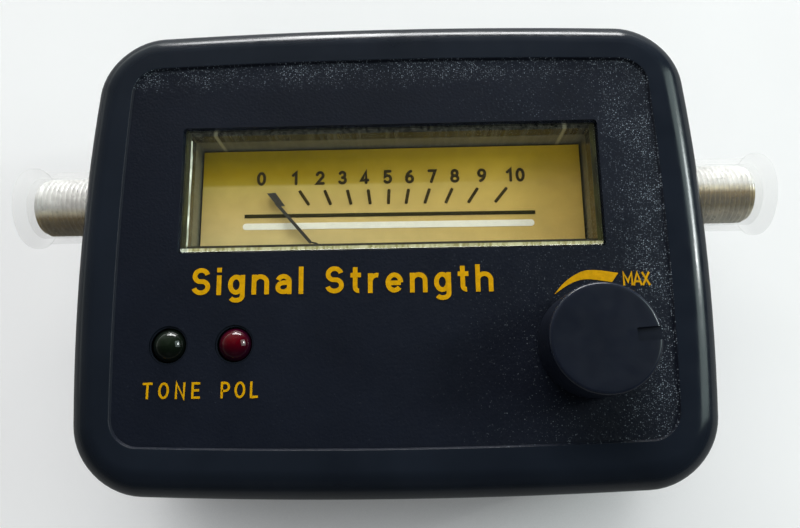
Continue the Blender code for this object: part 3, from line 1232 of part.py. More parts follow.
start_scene()
make_front_cover()
make_rear_cover()
make_case_screws()
make_meter_cover()
make_meter_body()
make_dial_plate()
make_magnet()
make_moving_coil()
make_pivots()
make_bridges()
make_hairsprings()
make_pointer()
make_terminals_and_wires()
make_circuit_board()
make_board_screws()
make_sockets()
make_caps()
make_leds()
make_potentiometer()
make_knob()
make_lower_components()
make_upper_components()
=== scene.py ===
"""Looks of the satellite signal meter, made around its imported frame, in metres."""

import math

import bmesh
import bpy
from mathutils import Matrix, Vector


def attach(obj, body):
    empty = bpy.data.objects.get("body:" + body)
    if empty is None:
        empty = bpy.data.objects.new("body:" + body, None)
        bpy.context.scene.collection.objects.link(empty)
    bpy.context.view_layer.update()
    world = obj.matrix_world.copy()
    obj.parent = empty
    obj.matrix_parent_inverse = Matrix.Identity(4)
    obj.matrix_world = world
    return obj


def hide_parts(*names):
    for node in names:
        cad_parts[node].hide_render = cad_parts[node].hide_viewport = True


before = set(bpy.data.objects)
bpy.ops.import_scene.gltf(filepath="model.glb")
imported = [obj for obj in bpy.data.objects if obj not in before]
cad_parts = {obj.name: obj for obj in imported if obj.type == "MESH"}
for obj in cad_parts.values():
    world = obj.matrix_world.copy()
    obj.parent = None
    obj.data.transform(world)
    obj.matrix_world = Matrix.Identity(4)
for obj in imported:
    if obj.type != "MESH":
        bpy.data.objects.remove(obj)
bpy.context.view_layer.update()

MM = 0.001


def mm(*sizes):
    """Millimetres as metres."""
    return tuple(size * MM for size in sizes)


# Photograph's viewpoint
CAMERA_PLACE = mm(3.0629, -25.0854, 135.221)
CAMERA_TURN = (0.21639, 0.02062, -0.015)
CAMERA_LENS = 31.5
SENSOR_WIDTH = 36.0

# Clearances and tolerances
GAP, MERGE, OVERRUN = mm(0.3, 0.01, 1.5)
SHARP = math.radians(32)

# Case
CASE_WIDTH, CASE_HEIGHT, CASE_DEPTH, CASE_WALL, CASE_CORNER = mm(94.95, 73.1, 36.0, 2.2, 9.8)
SIDE_BULGE, END_BULGE, PANEL_BULGE = mm(1.9, 1.2, 0.8)
FRONT_DRAFT, REAR_DRAFT = mm(0.5, 0.8)
FRONT_FILLET, REAR_FILLET, INNER_FILLET, EDGE_FILLET = mm(4.2, 3.0, 1.8, 0.15)
PARTING = 23.0 * MM
LIP_THICKNESS = 1.0 * MM
LIP_INSET = CASE_WALL + GAP
LIP_TOP = PARTING + 1.4 * MM
LIP_ROOT = PARTING - 3.0 * MM
PANEL_WIDTH, PANEL_HEIGHT, PANEL_CORNER = mm(80.55, 58.5, 3.8)
PANEL_FACE = CASE_DEPTH - 0.4 * MM
PANEL_UNDERSIDE = PANEL_FACE - CASE_WALL
WINDOW_HALF, WINDOW_LOW, WINDOW_HIGH, WINDOW_CORNER = mm(31.5, -0.95, 18.75, 0.5)
BOSS_INSET, BOSS_JOINT, FRONT_BOSS, REAR_BOSS = mm(10.2, 12.0, 3.5, 4.5)
BOSS_PLACES = [(x * (CASE_WIDTH / 2 - BOSS_INSET), y * (CASE_HEIGHT / 2 - BOSS_INSET))
               for x, y in ((1, 1), (-1, 1), (-1, -1), (1, -1))]
SCREW_RADIUS, SCREW_TIP, COUNTERBORE = mm(1.5, 19.0, 3.0)
HEAD_RADIUS, HEAD_HEIGHT, HEAD_DOME = mm(2.8, 2.0, 0.5)
BOARD_BOTTOM = 19.4 * MM
POST_PLACES = [mm(side * x, y) for x, y in ((37.475, -2.95), (17.0, -20.25), (27.0, 19.45))
               for side in (1, -1)]
POST_RADIUS, POST_PILOT, POST_PILOT_FLOOR = mm(2.8, 1.4, 13.0)

# Sockets and caps, along their axis
SIDES = {"left": -1, "right": 1}
SOCKET_Y = 10.35 * MM
THREAD_RADIUS, THREAD_PITCH, THREAD_DEPTH = mm(4.7625, 0.7938, 0.45)
THREAD_FLAT = 0.12
THREAD_ROOT = THREAD_RADIUS - THREAD_DEPTH
SOCKET_START, SOCKET_END, SOCKET_BORE = mm(44.5, 58.275, 3.4)
SOCKET_FLANGE, SOCKET_FLANGE_START = mm(6.0, 42.9)
SOCKET_TAIL, SOCKET_TAIL_RADIUS = mm(38.5, 4.0)
CAP_MOUTH, CAP_END, CAP_FLOOR = mm(47.975, 60.675, 1.4)
CAP_RADIUS, CAP_FLANGE, CAP_EDGE = mm(6.0, 6.75, 0.35)

# Meter and its print
METER_JOINT = 24.1 * MM + GAP / 2
METER_WALL, METER_FLANGE, PANE_THICKNESS = mm(0.7, 1.5, 0.9)
POD_HALF, POD_WALL = mm(13.0, 1.2)
DIAL_FACE, POINTER_LEVEL, PIVOT_Y = mm(28.5, 29.4, -12.45)
POINTER_REST = math.radians(40.1)
SKIN, INK_LIFT, INK_STEP = mm(0.05, 0.01, 0.006)
PRINT_SLOPE = -0.0053
NUMBER_MIDDLES = (-20.8, -15.29, -11.37, -7.76, -4.25, -0.54, 2.96, 6.57, 10.18, 14.49, 19.8)
TICK_TOPS = (-14.59, -10.58, -6.97, -3.66, -0.35, 2.75, 6.06, 9.67, 13.68, 18.28)
TICK_FEET = (-13.19, -9.69, -6.43, -3.37, -0.46, 2.34, 5.35, 8.66, 12.26, 16.52)

# LEDs and knob
LED_Y = -14.45 * MM
LED_PLACES = {"led_green": (-32.0 * MM, LED_Y), "led_red": (-22.5 * MM, LED_Y)}
LED_RADIUS = 2.5 * MM
LED_RIM = LED_RADIUS + 0.4 * MM
LED_TOP = PANEL_FACE + 1.2 * MM
LED_BASE = LED_TOP - 8.6 * MM
LED_LEG, LED_LEG_SPACE, LED_LEG_FOOT = mm(0.25, 1.27, 18.4)
KNOB_PLACE = mm(28.1, -15.25)
KNOB_RADIUS, KNOB_EDGE, BUSHING_HOLE = mm(7.6, 0.55, 4.3)
KNOB_TOP_RADIUS = KNOB_RADIUS - 0.2 * MM
KNOB_BOTTOM = PANEL_FACE + 0.7 * MM
KNOB_TOP = KNOB_BOTTOM + 7.8 * MM
KNOB_SLOT_TURN = math.radians(4)

# Colours, linear
BLACK = (0.0087, 0.0112, 0.0195)
# Black of the smooth faces, lighter and bluer than BLACK: a painted sheen of the smooth finish
RIM_SHEEN_BLACK = (0.0115, 0.0155, 0.024)
# Colour of the pale specks painted in as glints on the textured black
GLINT_SPECK = (0.5, 0.58, 0.66)
PRINT_GOLD = (0.7, 0.36, 0.001)
MASK_GREEN = (0.02, 0.14, 0.05)
FLOOR_COLOUR = (0.56, 0.565, 0.56)
HORIZON_TONE = (0.93, 1.0, 0.95)

# Stage: shares of light
BACKGROUND_LIFT = 0.43
HORIZON_LIFT = 0.92
MIRRORED_SHARE = 0.1
SHADE_REACH = 25 * MM
LAMP_AIM = Vector((0, 0, 30 * MM))
HEIGHT_LEVELS = ((0.0, 1.5), (0.1, 1.3), (0.17, 0.45), (0.45, 0.3), (0.7, 0.12), (1.0, 0.08))
AROUND_LEVELS = ((-180, 0.14), (-160, 0.08), (-70, 0.06), (-20, 0.03), (45, 0.04), (78, 1.0),
                 (125, 1.0), (150, 0.35))


# Node helpers; a socket knows its own tree

def add_node(owner, kind, **values):
    """A node of a look, a world or a tree; a value whose name is a socket is set there, any
    other on the node."""
    node = getattr(owner, "node_tree", owner).nodes.new("ShaderNode" + kind)
    for key, value in values.items():
        socket = node.inputs.get(key.replace("_", " "))
        if socket is not None:
            socket.default_value = value
        else:
            setattr(node, key, value)
    return node


def feed(target, value):
    """Link a socket to the target, or set the target to a number or a colour."""
    if isinstance(value, bpy.types.NodeSocket):
        target.id_data.links.new(value, target)
    else:
        target.default_value = (*value, 1.0) if isinstance(value, tuple) else value


def dress(look, **values):
    """Feed the sockets of the look's own shader."""
    shader = look.node_tree.nodes["Principled BSDF"]
    for key, value in values.items():
        feed(shader.inputs[key.replace("_", " ")], value)
    return look


def new_look(name, colour, roughness, metallic=0.0, **sockets):
    """Principled material; constant values go on the shader's own sockets."""
    look = bpy.data.materials.new(name)
    look.use_nodes = True
    return dress(look, Base_Color=colour, Roughness=roughness, Metallic=metallic, **sockets)


def coordinates(look, scale=(1, 1, 1)):
    """The piece's own place in the model, in metres, stretched by scale."""
    mapping = add_node(look, "Mapping", Scale=scale)
    feed(mapping.inputs["Vector"], add_node(look, "TexCoord").outputs["Object"])
    return mapping.outputs["Vector"]


def axis(look, name):
    """One coordinate of the piece's own place."""
    parts = add_node(look, "SeparateXYZ")
    feed(parts.inputs[0], coordinates(look))
    return parts.outputs[name]


def noise(look, size, detail=3.0, scale=(1, 1, 1)):
    """Soft noise with features of the given size in millimetres, as a value near 0.5."""
    texture = add_node(look, "TexNoise", Scale=1 / (size * MM), Detail=detail, Roughness=0.5)
    feed(texture.inputs["Vector"], coordinates(look, scale))
    return texture.outputs["Fac"]


def remap(value, low, high, from_low=0.3, from_high=0.7):
    """Value stretched from one range to another."""
    node = add_node(value.id_data, "MapRange")
    for socket, number in zip(node.inputs, (value, from_low, from_high, low, high)):
        feed(socket, number)
    return node.outputs[0]


def band(look, name, low, high, start, end):
    """Value that goes from low to high between two places along an axis, in millimetres."""
    return remap(axis(look, name), low, high, start * MM, end * MM)


def combine(operation, first, second=0.0):
    """Math node on a socket and a number or another socket."""
    node = add_node(first.id_data, "Math", operation=operation)
    feed(node.inputs[0], first)
    feed(node.inputs[1], second)
    return node.outputs[0]


def mix_colours(factor, first, second):
    """Colour between two, which may be fixed colours or sockets."""
    node = add_node(factor.id_data, "Mix", data_type="RGBA")
    feed(node.inputs[0], factor)
    sockets = [item for item in node.inputs if item.type == "RGBA"]
    feed(sockets[0], first)
    feed(sockets[1], second)
    return [item for item in node.outputs if item.type == "RGBA"][0]


def ramp(value, stops):
    """Colour ramp; each stop is a place from 0 to 1 and its colour."""
    node = add_node(value.id_data, "ValToRGB")
    elements = node.color_ramp.elements
    while len(elements) < len(stops):
        elements.new(0.5)
    for element, (spot, colour) in zip(elements, stops):
        element.position = spot
        element.color = (*colour, 1.0)
    feed(node.inputs[0], value)
    return node.outputs[0]


def greys(levels):
    return [(spot, (level, level, level)) for spot, level in levels]


def scaled(colour, share):
    return tuple(part * share for part in colour)


def drift(look, colour, size, low, high):
    """Colour that drifts slowly between two shares of itself."""
    share = remap(noise(look, size), 0.0, 1.0)
    return mix_colours(share, scaled(colour, low), scaled(colour, high))


def mottle(look, colour, value):
    """Give the look a colour whose brightness follows a value."""
    node = add_node(look, "HueSaturation")
    feed(node.inputs["Color"], colour)
    feed(node.inputs["Value"], value)
    return dress(look, Base_Color=node.outputs[0])


def bump(look, height, depth, below=None):
    """Bump of a height texture, with its real depth in millimetres."""
    node = add_node(look, "Bump", Distance=depth * MM)
    feed(node.inputs["Height"], height)
    if below:
        feed(node.inputs["Normal"], below)
    dress(look, Normal=node.outputs["Normal"])
    return node.outputs["Normal"]


# Materials

def finish(name, colour, roughness, metallic=0.0, tone=None, rough=None, grain=None, **sockets):
    """Look with a drift of its colour (spread, size) and of its roughness (low, high, size), and
    with a grain (depth, size and the noise's other values); all sizes in millimetres."""
    look = new_look(name, colour, roughness, metallic, **sockets)
    if tone:
        spread, size = tone
        dress(look, Base_Color=drift(look, colour, size, 1 - spread, 1 + spread))
    if rough:
        low, high, size = rough
        dress(look, Roughness=remap(noise(look, size), low, high))
    if grain:
        depth, *texture = grain
        bump(look, noise(look, *texture), depth)
    return look


def plain_finish(name, colour, roughness, grain=0.4, depth=0.004):
    """Plastic with slow drifts and a fine grain."""
    rough = (roughness * 0.85, min(1.0, roughness * 1.15), 5 * grain)
    return finish(name, colour, roughness, tone=(0.12, 9 * grain), rough=rough,
                  grain=(depth, grain))


def brushed(name, colour, roughness=0.3):
    """Metal with fine lines along X."""
    return finish(name, colour, roughness, 1.0, tone=(0.1, 2),
                  rough=(roughness * 0.8, roughness * 1.3, 1),
                  grain=(0.003, 0.1, 2.0, (0.1, 1, 1)))


def ink(name, colour, roughness=0.45, spread=0.12):
    """Screen-printed ink with slightly uneven cover."""
    return finish(name, colour, roughness, tone=(spread, 0.6), grain=(0.006, 0.15),
                  Specular_IOR_Level=0.15)


def speckle(look, amount, size):
    """Round pale specks of about one size, more of them where the amount is high."""
    cells = add_node(look, "TexVoronoi", Scale=1 / (size * MM), voronoi_dimensions="2D")
    feed(cells.inputs["Vector"], coordinates(look))
    lot = add_node(look, "SeparateColor")
    feed(lot.inputs[0], cells.outputs["Color"])
    reach = remap(lot.outputs[1], 0.14, 0.32, 0.0, 1.0)
    dot = remap(combine("SUBTRACT", reach, cells.outputs["Distance"]), 0.0, 1.0, 0.0, 0.08)
    chance = combine("ADD", combine("MULTIPLY", amount, 0.54), -1.0)
    chosen = remap(combine("ADD", lot.outputs[0], chance), 0.0, 1.0, 0.0, 0.5)
    return combine("MULTIPLY", dot, chosen)


def spark_black():
    """Spark-eroded texture: fine rounded grains, with pale specks painted in as glints, gathered
    where light falls at the top and the right.
    """
    depth = 0.022
    look = finish("spark_black", BLACK, 0.38, rough=(0.34, 0.44, 1.0), Specular_IOR_Level=0.3)
    grains = add_node(look, "TexVoronoi", Scale=1 / (0.42 * MM), feature="SMOOTH_F1",
                      Smoothness=0.5)
    feed(grains.inputs["Vector"], coordinates(look))
    first = bump(look, grains.outputs["Distance"], depth)
    bump(look, noise(look, 0.25, 4.0), depth, first)
    # Painted glints: the specks gather in a band at the top, along the right and thinly towards
    # the middle, in noisy patches.
    top_band = band(look, "Y", 0.0, 0.95, 23.8, 27.2)
    right_band = band(look, "X", 0.0, 0.62, 30.0, 32.5)
    right_edge = band(look, "X", 0.0, 0.38, 32.0, 39.5)
    middle = band(look, "X", 0.04, 0.25, 5, 22)
    patches = remap(noise(look, 5), 0.45, 1.0, 0.35, 0.65)
    amount = combine("MAXIMUM", top_band, combine("ADD", right_band, right_edge))
    amount = combine("MAXIMUM", combine("MULTIPLY", amount, patches), middle)
    glint_specks = combine("MAXIMUM", speckle(look, amount, 0.21), speckle(look, amount, 0.3))
    body = drift(look, BLACK, 10, 0.85, 1.1)
    return dress(look, Base_Color=mix_colours(glint_specks, body, GLINT_SPECK))


def clear_pane():
    """Polished clear cover of the meter, with faint haze; its shadow is only a tint."""
    look = finish("clear_pane", (0.955, 0.965, 0.94), 0.03, tone=(0.01, 6),
                  rough=(0.02, 0.05, 5), Transmission_Weight=1.0, IOR=1.49)
    nodes = look.node_tree.nodes
    tint = add_node(look, "BsdfTransparent", Color=(0.95, 0.95, 0.93, 1.0))
    mixer = add_node(look, "MixShader")
    feed(mixer.inputs[0], add_node(look, "LightPath").outputs["Is Shadow Ray"])
    feed(mixer.inputs[1], nodes["Principled BSDF"].outputs[0])
    feed(mixer.inputs[2], tint.outputs[0])
    feed(nodes["Material Output"].inputs["Surface"], mixer.outputs[0])
    return look


def wall_streaks():
    """Side walls of the cover: a painted reflection of the dial in fine upright streaks, darker
    over their upper part, and a rib.
    """
    light = (0.118, 0.118, 0.092)
    upright = (1, 1, 0.05)
    look = finish("wall_streaks", light, 0.25, grain=(0.02, 0.3, 3.0, upright))
    level = band(look, "Z", 1.0, 0.0, 31.6, 32.2)
    streak = remap(noise(look, 0.5, 3.0, upright), 0.0, 0.4, 0.35, 0.65)
    tone = mix_colours(level, (0.014, 0.014, 0.011), light)
    tone = mix_colours(streak, tone, scaled(light, 1.4))
    aside = combine("SUBTRACT", combine("ABSOLUTE", axis(look, "X")), 26.8 * MM)
    rib = remap(combine("ABSOLUTE", aside), 0.75, 0.0, 0.15 * MM, 0.4 * MM)
    return dress(look, Base_Color=mix_colours(rib, tone, (0.36, 0.35, 0.24)))


def wall_rim():
    """Top of the cover's walls seen through the pane: olive, painted light from the dial carried
    up the clear walls.
    """
    look = finish("wall_rim", (0.1, 0.1, 0.02), 0.3, grain=(0.01, 0.3))
    grain = remap(noise(look, 0.5, 3.0, (1, 0.15, 1)), 0.0, 1.0)
    mixed = mix_colours(grain, (0.004, 0.0045, 0.003), (0.05, 0.05, 0.012))
    return dress(look, Base_Color=mixed)


def wall_glint():
    """Lower wall of the cover: it shows the dial as painted light, with painted pale glints along
    its outer edge and a painted highlight line on the left wall.
    """
    look = finish("wall_glint", (0.4, 0.39, 0.22), 0.2, grain=(0.01, 0.3))
    glints = remap(noise(look, 0.5, 4.0, (1, 0.3, 0.3)), 0.0, 1.0, 0.4, 0.6)
    # Painted highlights: a pale line at the outer edge of the lower wall and a line along the left
    # wall.
    edge = remap(axis(look, "Y"), 1.0, 0.0, WINDOW_LOW + 0.42 * MM, WINDOW_LOW + 0.55 * MM)
    highlight_line = remap(axis(look, "X"), 1.0, 0.0, 0.93 * MM - WINDOW_HALF, 1.36 * MM - WINDOW_HALF)
    edge = combine("MAXIMUM", edge, combine("CEIL", highlight_line))
    body = mix_colours(glints, (0.3, 0.28, 0.12), (0.55, 0.53, 0.33))
    pale = mix_colours(glints, (0.4, 0.43, 0.34), (0.85, 0.9, 0.8))
    return dress(look, Base_Color=mix_colours(edge, body, pale))


def dial_paper():
    """Amber dial: olive gold over the numbers and tan under them, the step between them a painted
    brightness step of light and shade; more golden towards the right.
    """
    look = finish("dial_paper", (0.6, 0.45, 0.15), 0.6, grain=(0.004, 0.3),
                  Specular_IOR_Level=0.1)
    up = band(look, "Y", 0.0, 1.0, 0.5, 18.5)
    # The step from olive gold to tan just under the numbers is painted light and shade.
    left_tones = ramp(up, (
        (0.0, (0.655, 0.53, 0.25)), (0.25, (0.67, 0.495, 0.2)), (0.42, (0.6, 0.435, 0.147)),
        (0.605, (0.6, 0.447, 0.125)), (0.63, (0.455, 0.32, 0.026)), (0.72, (0.42, 0.275, 0.004)),
        (0.86, (0.38, 0.262, 0.002)), (1.0, (0.48, 0.34, 0.01))))
    golden = ramp(up, (
        (0.0, (0.68, 0.475, 0.155)), (0.6, (0.63, 0.43, 0.095)), (0.85, (0.74, 0.49, 0.03))))
    across = band(look, "X", 0.0, 1.0, -14, 27)
    dial_tone = mix_colours(across, left_tones, golden)
    return mottle(look, dial_tone, remap(noise(look, 2.5, 5.0), 0.94, 1.06))


def nickel():
    """Plated thread: white with a painted highlight above, and a brown and olive band of painted
    shade on its lower half.
    """
    look = finish("nickel", (0.72, 0.68, 0.58), 0.3, 0.25, rough=(0.24, 0.42, 1.0),
                  grain=(0.003, 0.12))
    up = remap(axis(look, "Y"), 0.0, 1.0, SOCKET_Y - THREAD_RADIUS, SOCKET_Y + THREAD_RADIUS)
    left_shift = band(look, "X", 0.2, 0.0, -1, 1)
    # Painted highlight on the upper half and painted shade across the lower half, shifted a little
    # on the left socket.
    tone = ramp(combine("ADD", up, left_shift), (
        (0.0, (0.96, 0.92, 0.8)), (0.12, (0.8, 0.72, 0.55)), (0.2, (0.34, 0.26, 0.09)),
        (0.3, (0.24, 0.15, 0.01)), (0.4, (0.4, 0.27, 0.06)), (0.47, (0.93, 0.85, 0.64)),
        (0.56, (0.98, 0.96, 0.92)), (1.0, (0.99, 0.985, 0.97))))
    return mottle(look, tone, remap(noise(look, 1.2, 4.0, (0.6, 1, 1)), 0.82, 1.18))


def led_epoxy(name, colour, deep):
    """Tinted clear dome, with painted shade deepening its colour towards its foot and over its
    lower half.
    """
    look = finish(name, colour, 0.06, rough=(0.04, 0.1, 1.5), IOR=1.54, Transmission_Weight=0.35)
    # Painted shade: deep colour where the dome sits in its hole and on its lower half.
    height = remap(axis(look, "Z"), 0.0, 1.0, LED_TOP - 1.3 * MM, LED_TOP - 0.2 * MM)
    lower = remap(axis(look, "Y"), 0.75, 0.0, LED_Y - 1.2 * MM, LED_Y + 0.4 * MM)
    mixed = mix_colours(lower, mix_colours(height, deep, colour), deep)
    mixed = mix_colours(remap(noise(look, 1.2), 0.0, 0.25), mixed, deep)
    return dress(look, Base_Color=mixed)


def board_finish():
    """Green solder mask with copper tracks under it."""
    look = finish("board_finish", MASK_GREEN, 0.35, rough=(0.28, 0.42, 2))
    tracks = add_node(look, "TexBrick", Scale=1 / (9 * MM), Mortar_Size=0.04,
                      Color1=(*MASK_GREEN, 1), Color2=(0.022, 0.155, 0.055, 1),
                      Mortar=(0.035, 0.24, 0.08, 1))
    feed(tracks.inputs["Vector"], coordinates(look))
    dress(look, Base_Color=tracks.outputs["Color"])
    bump(look, tracks.outputs["Fac"], 0.03)
    return look


# Mesh helpers

def to_object(name, shape):
    """Turn a bmesh of closed shapes into an object."""
    bmesh.ops.recalc_face_normals(shape, faces=shape.faces)
    mesh = bpy.data.meshes.new(name)
    shape.to_mesh(mesh)
    shape.free()
    item = bpy.data.objects.new(name, mesh)
    bpy.context.scene.collection.objects.link(item)
    return item


def to_piece(name, shape, look, body="case", sharp=SHARP):
    """Turn a bmesh into a shaded piece that rides on a body."""
    piece = to_object(name, shape)
    for item in look if isinstance(look, list) else [look]:
        piece.data.materials.append(item)
    settle(piece, body, sharp)
    return piece


def settle(piece, body="case", sharp=SHARP):
    """Smooth shading with sharp edges by angle; ride on the body."""
    piece.data.shade_smooth()
    piece.data.set_sharp_from_angle(angle=sharp)
    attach(piece, body)


def evenly_shaded(piece):
    """Weighted normals, so that flat faces stay flat beside fillets."""
    weighted = piece.modifiers.new("weighted", "WEIGHTED_NORMAL")
    weighted.keep_sharp = True
    weighted.weight = 90


def carve(piece, add=(), cut=(), body="case"):
    """Join closed shapes to a piece, cut others out of it, and shade it again."""
    steps = [("UNION", shape) for shape in add] + [("DIFFERENCE", shape) for shape in cut]
    for operation, shape in steps:
        tool = to_object("tool", shape)
        modifier = piece.modifiers.new("tool", "BOOLEAN")
        modifier.object = tool
        modifier.operation = operation
        modifier.solver = "EXACT"
        bpy.context.view_layer.update()
        graph = bpy.context.evaluated_depsgraph_get()
        result = bpy.data.meshes.new_from_object(piece.evaluated_get(graph))
        piece.modifiers.clear()
        old = piece.data
        piece.data = result
        bpy.data.meshes.remove(old)
        bpy.data.objects.remove(tool, do_unlink=True)
    settle(piece, body)


def at(x, y, z=0):
    return Matrix.Translation((x, y, z))


def arc(x, y, reach_x, reach_y, start, end, steps=18):
    """Points along part of an ellipse, angles in degrees."""
    angles = [math.radians(start + (end - start) * step / steps) for step in range(steps + 1)]
    return [(x + reach_x * math.cos(angle), y + reach_y * math.sin(angle)) for angle in angles]


def bend(x, y, radius, start, end, steps):
    """Points along a round bend."""
    return arc(x, y, radius, radius, start, end, steps)


def pillow(width, height, corner, side_bulge, end_bulge, corner_steps=14, side_steps=14):
    """Rounded rectangle whose sides swell, as points in order round it."""
    half_width = width / 2 - side_bulge
    half_height = height / 2 - end_bulge
    arcs = []
    for sign_x, sign_y, start in ((1, -1, -90), (1, 1, 0), (-1, 1, 90), (-1, -1, 180)):
        arcs.append(bend(sign_x * (half_width - corner), sign_y * (half_height - corner), corner,
                         start, start + 90, corner_steps))
    loop = []
    for index, points in enumerate(arcs):
        following = arcs[(index + 1) % 4][0]
        loop.extend(points)
        for step in range(1, side_steps):
            along = step / side_steps
            loop.append(tuple(a + (b - a) * along for a, b in zip(points[-1], following)))
    return [(x * (1 + side_bulge / half_width * (1 - (y / half_height) ** 2)),
             y * (1 + end_bulge / half_height * (1 - (x / half_width) ** 2))) for x, y in loop]


def case_loop(inset):
    return pillow(CASE_WIDTH - 2 * inset, CASE_HEIGHT - 2 * inset, CASE_CORNER - inset,
                  SIDE_BULGE, END_BULGE)


def panel_loop(inset):
    return pillow(PANEL_WIDTH - 2 * inset, PANEL_HEIGHT - 2 * inset, PANEL_CORNER - inset,
                  PANEL_BULGE, PANEL_BULGE)


def loft(levels, shape=None):
    """Closed skin through flat loops at their heights; both ends get a cap."""
    shape = shape or bmesh.new()
    rings = [[shape.verts.new((x, y, height)) for x, y in loop] for loop, height in levels]
    count = len(rings[0])
    for low, high in zip(rings, rings[1:]):
        for index in range(count):
            following = (index + 1) % count
            shape.faces.new((low[index], low[following], high[following], high[index]))
    shape.faces.new(rings[0])
    shape.faces.new(rings[-1])
    return shape


def revolve(profile, steps=72, shape=None, place=None):
    """Closed solid turned round Z from (radius, height) points. A zero radius is a pole, and a
    radius may be a function of the share of the turn."""
    shape = shape or bmesh.new()
    rings = []
    for radius, height in profile:
        ring = []
        for index in range(1 if radius == 0 else steps):
            turn = 2 * math.pi * index / steps
            reach = radius(index / steps) if callable(radius) else radius
            ring.append(shape.verts.new((reach * math.cos(turn), reach * math.sin(turn), height)))
        rings.append(ring)
    pairs = list(zip(rings, rings[1:]))
    if len(rings[0]) > 1 and len(rings[-1]) > 1:
        pairs.append((rings[-1], rings[0]))
    for first, second in pairs:
        for index in range(steps):
            following = (index + 1) % steps
            corners = [first[index % len(first)], first[following % len(first)],
                       second[following % len(second)], second[index % len(second)]]
            unique = list(dict.fromkeys(corners))
            if len(unique) > 2:
                shape.faces.new(unique)
    if place:
        made = [vert for ring in rings for vert in ring]
        bmesh.ops.transform(shape, matrix=place, verts=made)
    return shape


def oblong(inner, outer, low, high):
    """Profile of a ring or, from zero, of a bar."""
    return [(inner, low), (outer, low), (outer, high), (inner, high)]


def cylinder(radius, x, y, low, high, steps=64, shape=None):
    """Upright bar."""
    return revolve(oblong(0, radius, low, high), steps, shape, at(x, y))


def sideways(side):
    """Turns +Z to the left or right end of the sockets' axis."""
    return at(0, SOCKET_Y, PARTING) @ Matrix.Rotation(side * math.pi / 2, 4, "Y")


def block(low, high, shape=None):
    """Box between two corners."""
    shape = shape or bmesh.new()
    size = [b - a for a, b in zip(low, high)]
    middle = [(a + b) / 2 for a, b in zip(low, high)]
    bmesh.ops.create_cube(shape, size=1, matrix=at(*middle) @ Matrix.Diagonal((*size, 1)))
    return shape


def round_block(low, high, corner, top=0.0):
    """Box with rounded upright edges and, if asked, a rounded top edge."""
    width = high[0] - low[0]
    height = high[1] - low[1]

    def inset_loop(inset):
        points = pillow(width - 2 * inset, height - 2 * inset, max(corner - inset, corner / 4),
                        0, 0, 5, 1)
        return [(x + (low[0] + high[0]) / 2, y + (low[1] + high[1]) / 2) for x, y in points]

    levels = [(0, low[2]), (0, high[2] - top)]
    if top:
        levels += bend(top, high[2] - top, top, 180, 90, 3)[1:]
    return loft([(inset_loop(inset), level) for inset, level in levels])


def stroke(points, width, bottom, shape, steps=4, thickness=SKIN):
    """Flat printed stroke through the points, as one closed strip with round ends."""
    closed = (Vector(points[0]) - Vector(points[-1])).length < MERGE
    spots = [Vector(point) for point in (points[:-1] if closed else points)]
    rows = []
    for index, spot in enumerate(spots):
        before = spots[index - 1] if index or closed else None
        after = spots[(index + 1) % len(spots)] if index < len(spots) - 1 or closed else None
        arriving = ((after - spot) if before is None else (spot - before)).normalized()
        leaving = (after - spot).normalized() if after is not None else arriving
        tangent = (arriving + leaving).normalized()
        across = Vector((-tangent.y, tangent.x)) / max(0.45, tangent.dot(arriving)) * width / 2
        rows.append((spot - across, spot + across, arriving if index else -leaving))
    rings = [row[:2] for row in rows]
    for row, at_end in () if closed else ((rows[0], False), (rows[-1], True)):
        middle = (row[0] + row[1]) / 2
        half = (row[1] - row[0]) / 2
        for step in range(1, steps):
            angle = math.pi / 2 * step / steps
            centre = middle + row[2] * half.length * math.sin(angle)
            ring = (centre - half * math.cos(angle), centre + half * math.cos(angle))
            rings = rings + [ring] if at_end else [ring] + rings
    verts = [[shape.verts.new((*spot, level)) for level in (bottom, bottom + thickness)
              for spot in ring] for ring in rings]
    for first, second in zip(verts, verts[1:] + verts[:1] if closed else verts[1:]):
        for a, b in ((0, 1), (1, 3), (3, 2), (2, 0)):
            shape.faces.new((first[a], first[b], second[b], second[a]))
    for ring in () if closed else (verts[0], verts[-1]):
        shape.faces.new([ring[index] for index in (0, 1, 3, 2)])
    return shape


# Case

def socket_cuts():
    """Shapes that open the side walls for the sockets' threads and flanges."""
    inner = CASE_WIDTH / 2 - 2 * CASE_WALL - SIDE_BULGE
    cuts = []
    for radius, end in ((THREAD_RADIUS + GAP, CASE_WIDTH / 2 + OVERRUN),
                        (SOCKET_FLANGE + GAP, SOCKET_START + GAP)):
        ways = bmesh.new()
        for side in SIDES.values():
            revolve(oblong(0, radius, inner, end), 64, ways, sideways(side))
        cuts.append(ways)
    return cuts


def texture_flat(piece, height, facing):
    """Textured finish for the faces at a height that look straight up (1) or down (-1)."""
    for face in piece.data.polygons:
        if face.normal.z * facing > 0.99 and abs(face.center.z - height) < MERGE:
            face.material_index = 1


def front_levels():
    """Loops of the front cover, from the inside's cap over the rim to the panel."""
    joint = PARTING + GAP / 2
    shoulder = CASE_DEPTH - FRONT_FILLET
    draft = FRONT_DRAFT * (shoulder - joint) / (CASE_DEPTH - joint)
    outside = bend(CASE_WALL + FRONT_DRAFT + INNER_FILLET, PANEL_UNDERSIDE - INNER_FILLET,
                   INNER_FILLET, 90, 180, 4)
    outside += [(CASE_WALL, joint), (EDGE_FILLET, joint), (0, joint + EDGE_FILLET)]
    outside += bend(draft + FRONT_FILLET, shoulder, FRONT_FILLET, 180, 90, 16)
    panel = [(-2 * EDGE_FILLET, CASE_DEPTH)]
    panel += bend(-EDGE_FILLET, CASE_DEPTH - EDGE_FILLET, EDGE_FILLET, 90, 0, 4)
    panel.append((EDGE_FILLET, PANEL_FACE))
    return ([(case_loop(inset), level) for inset, level in outside]
            + [(panel_loop(inset), level) for inset, level in panel])


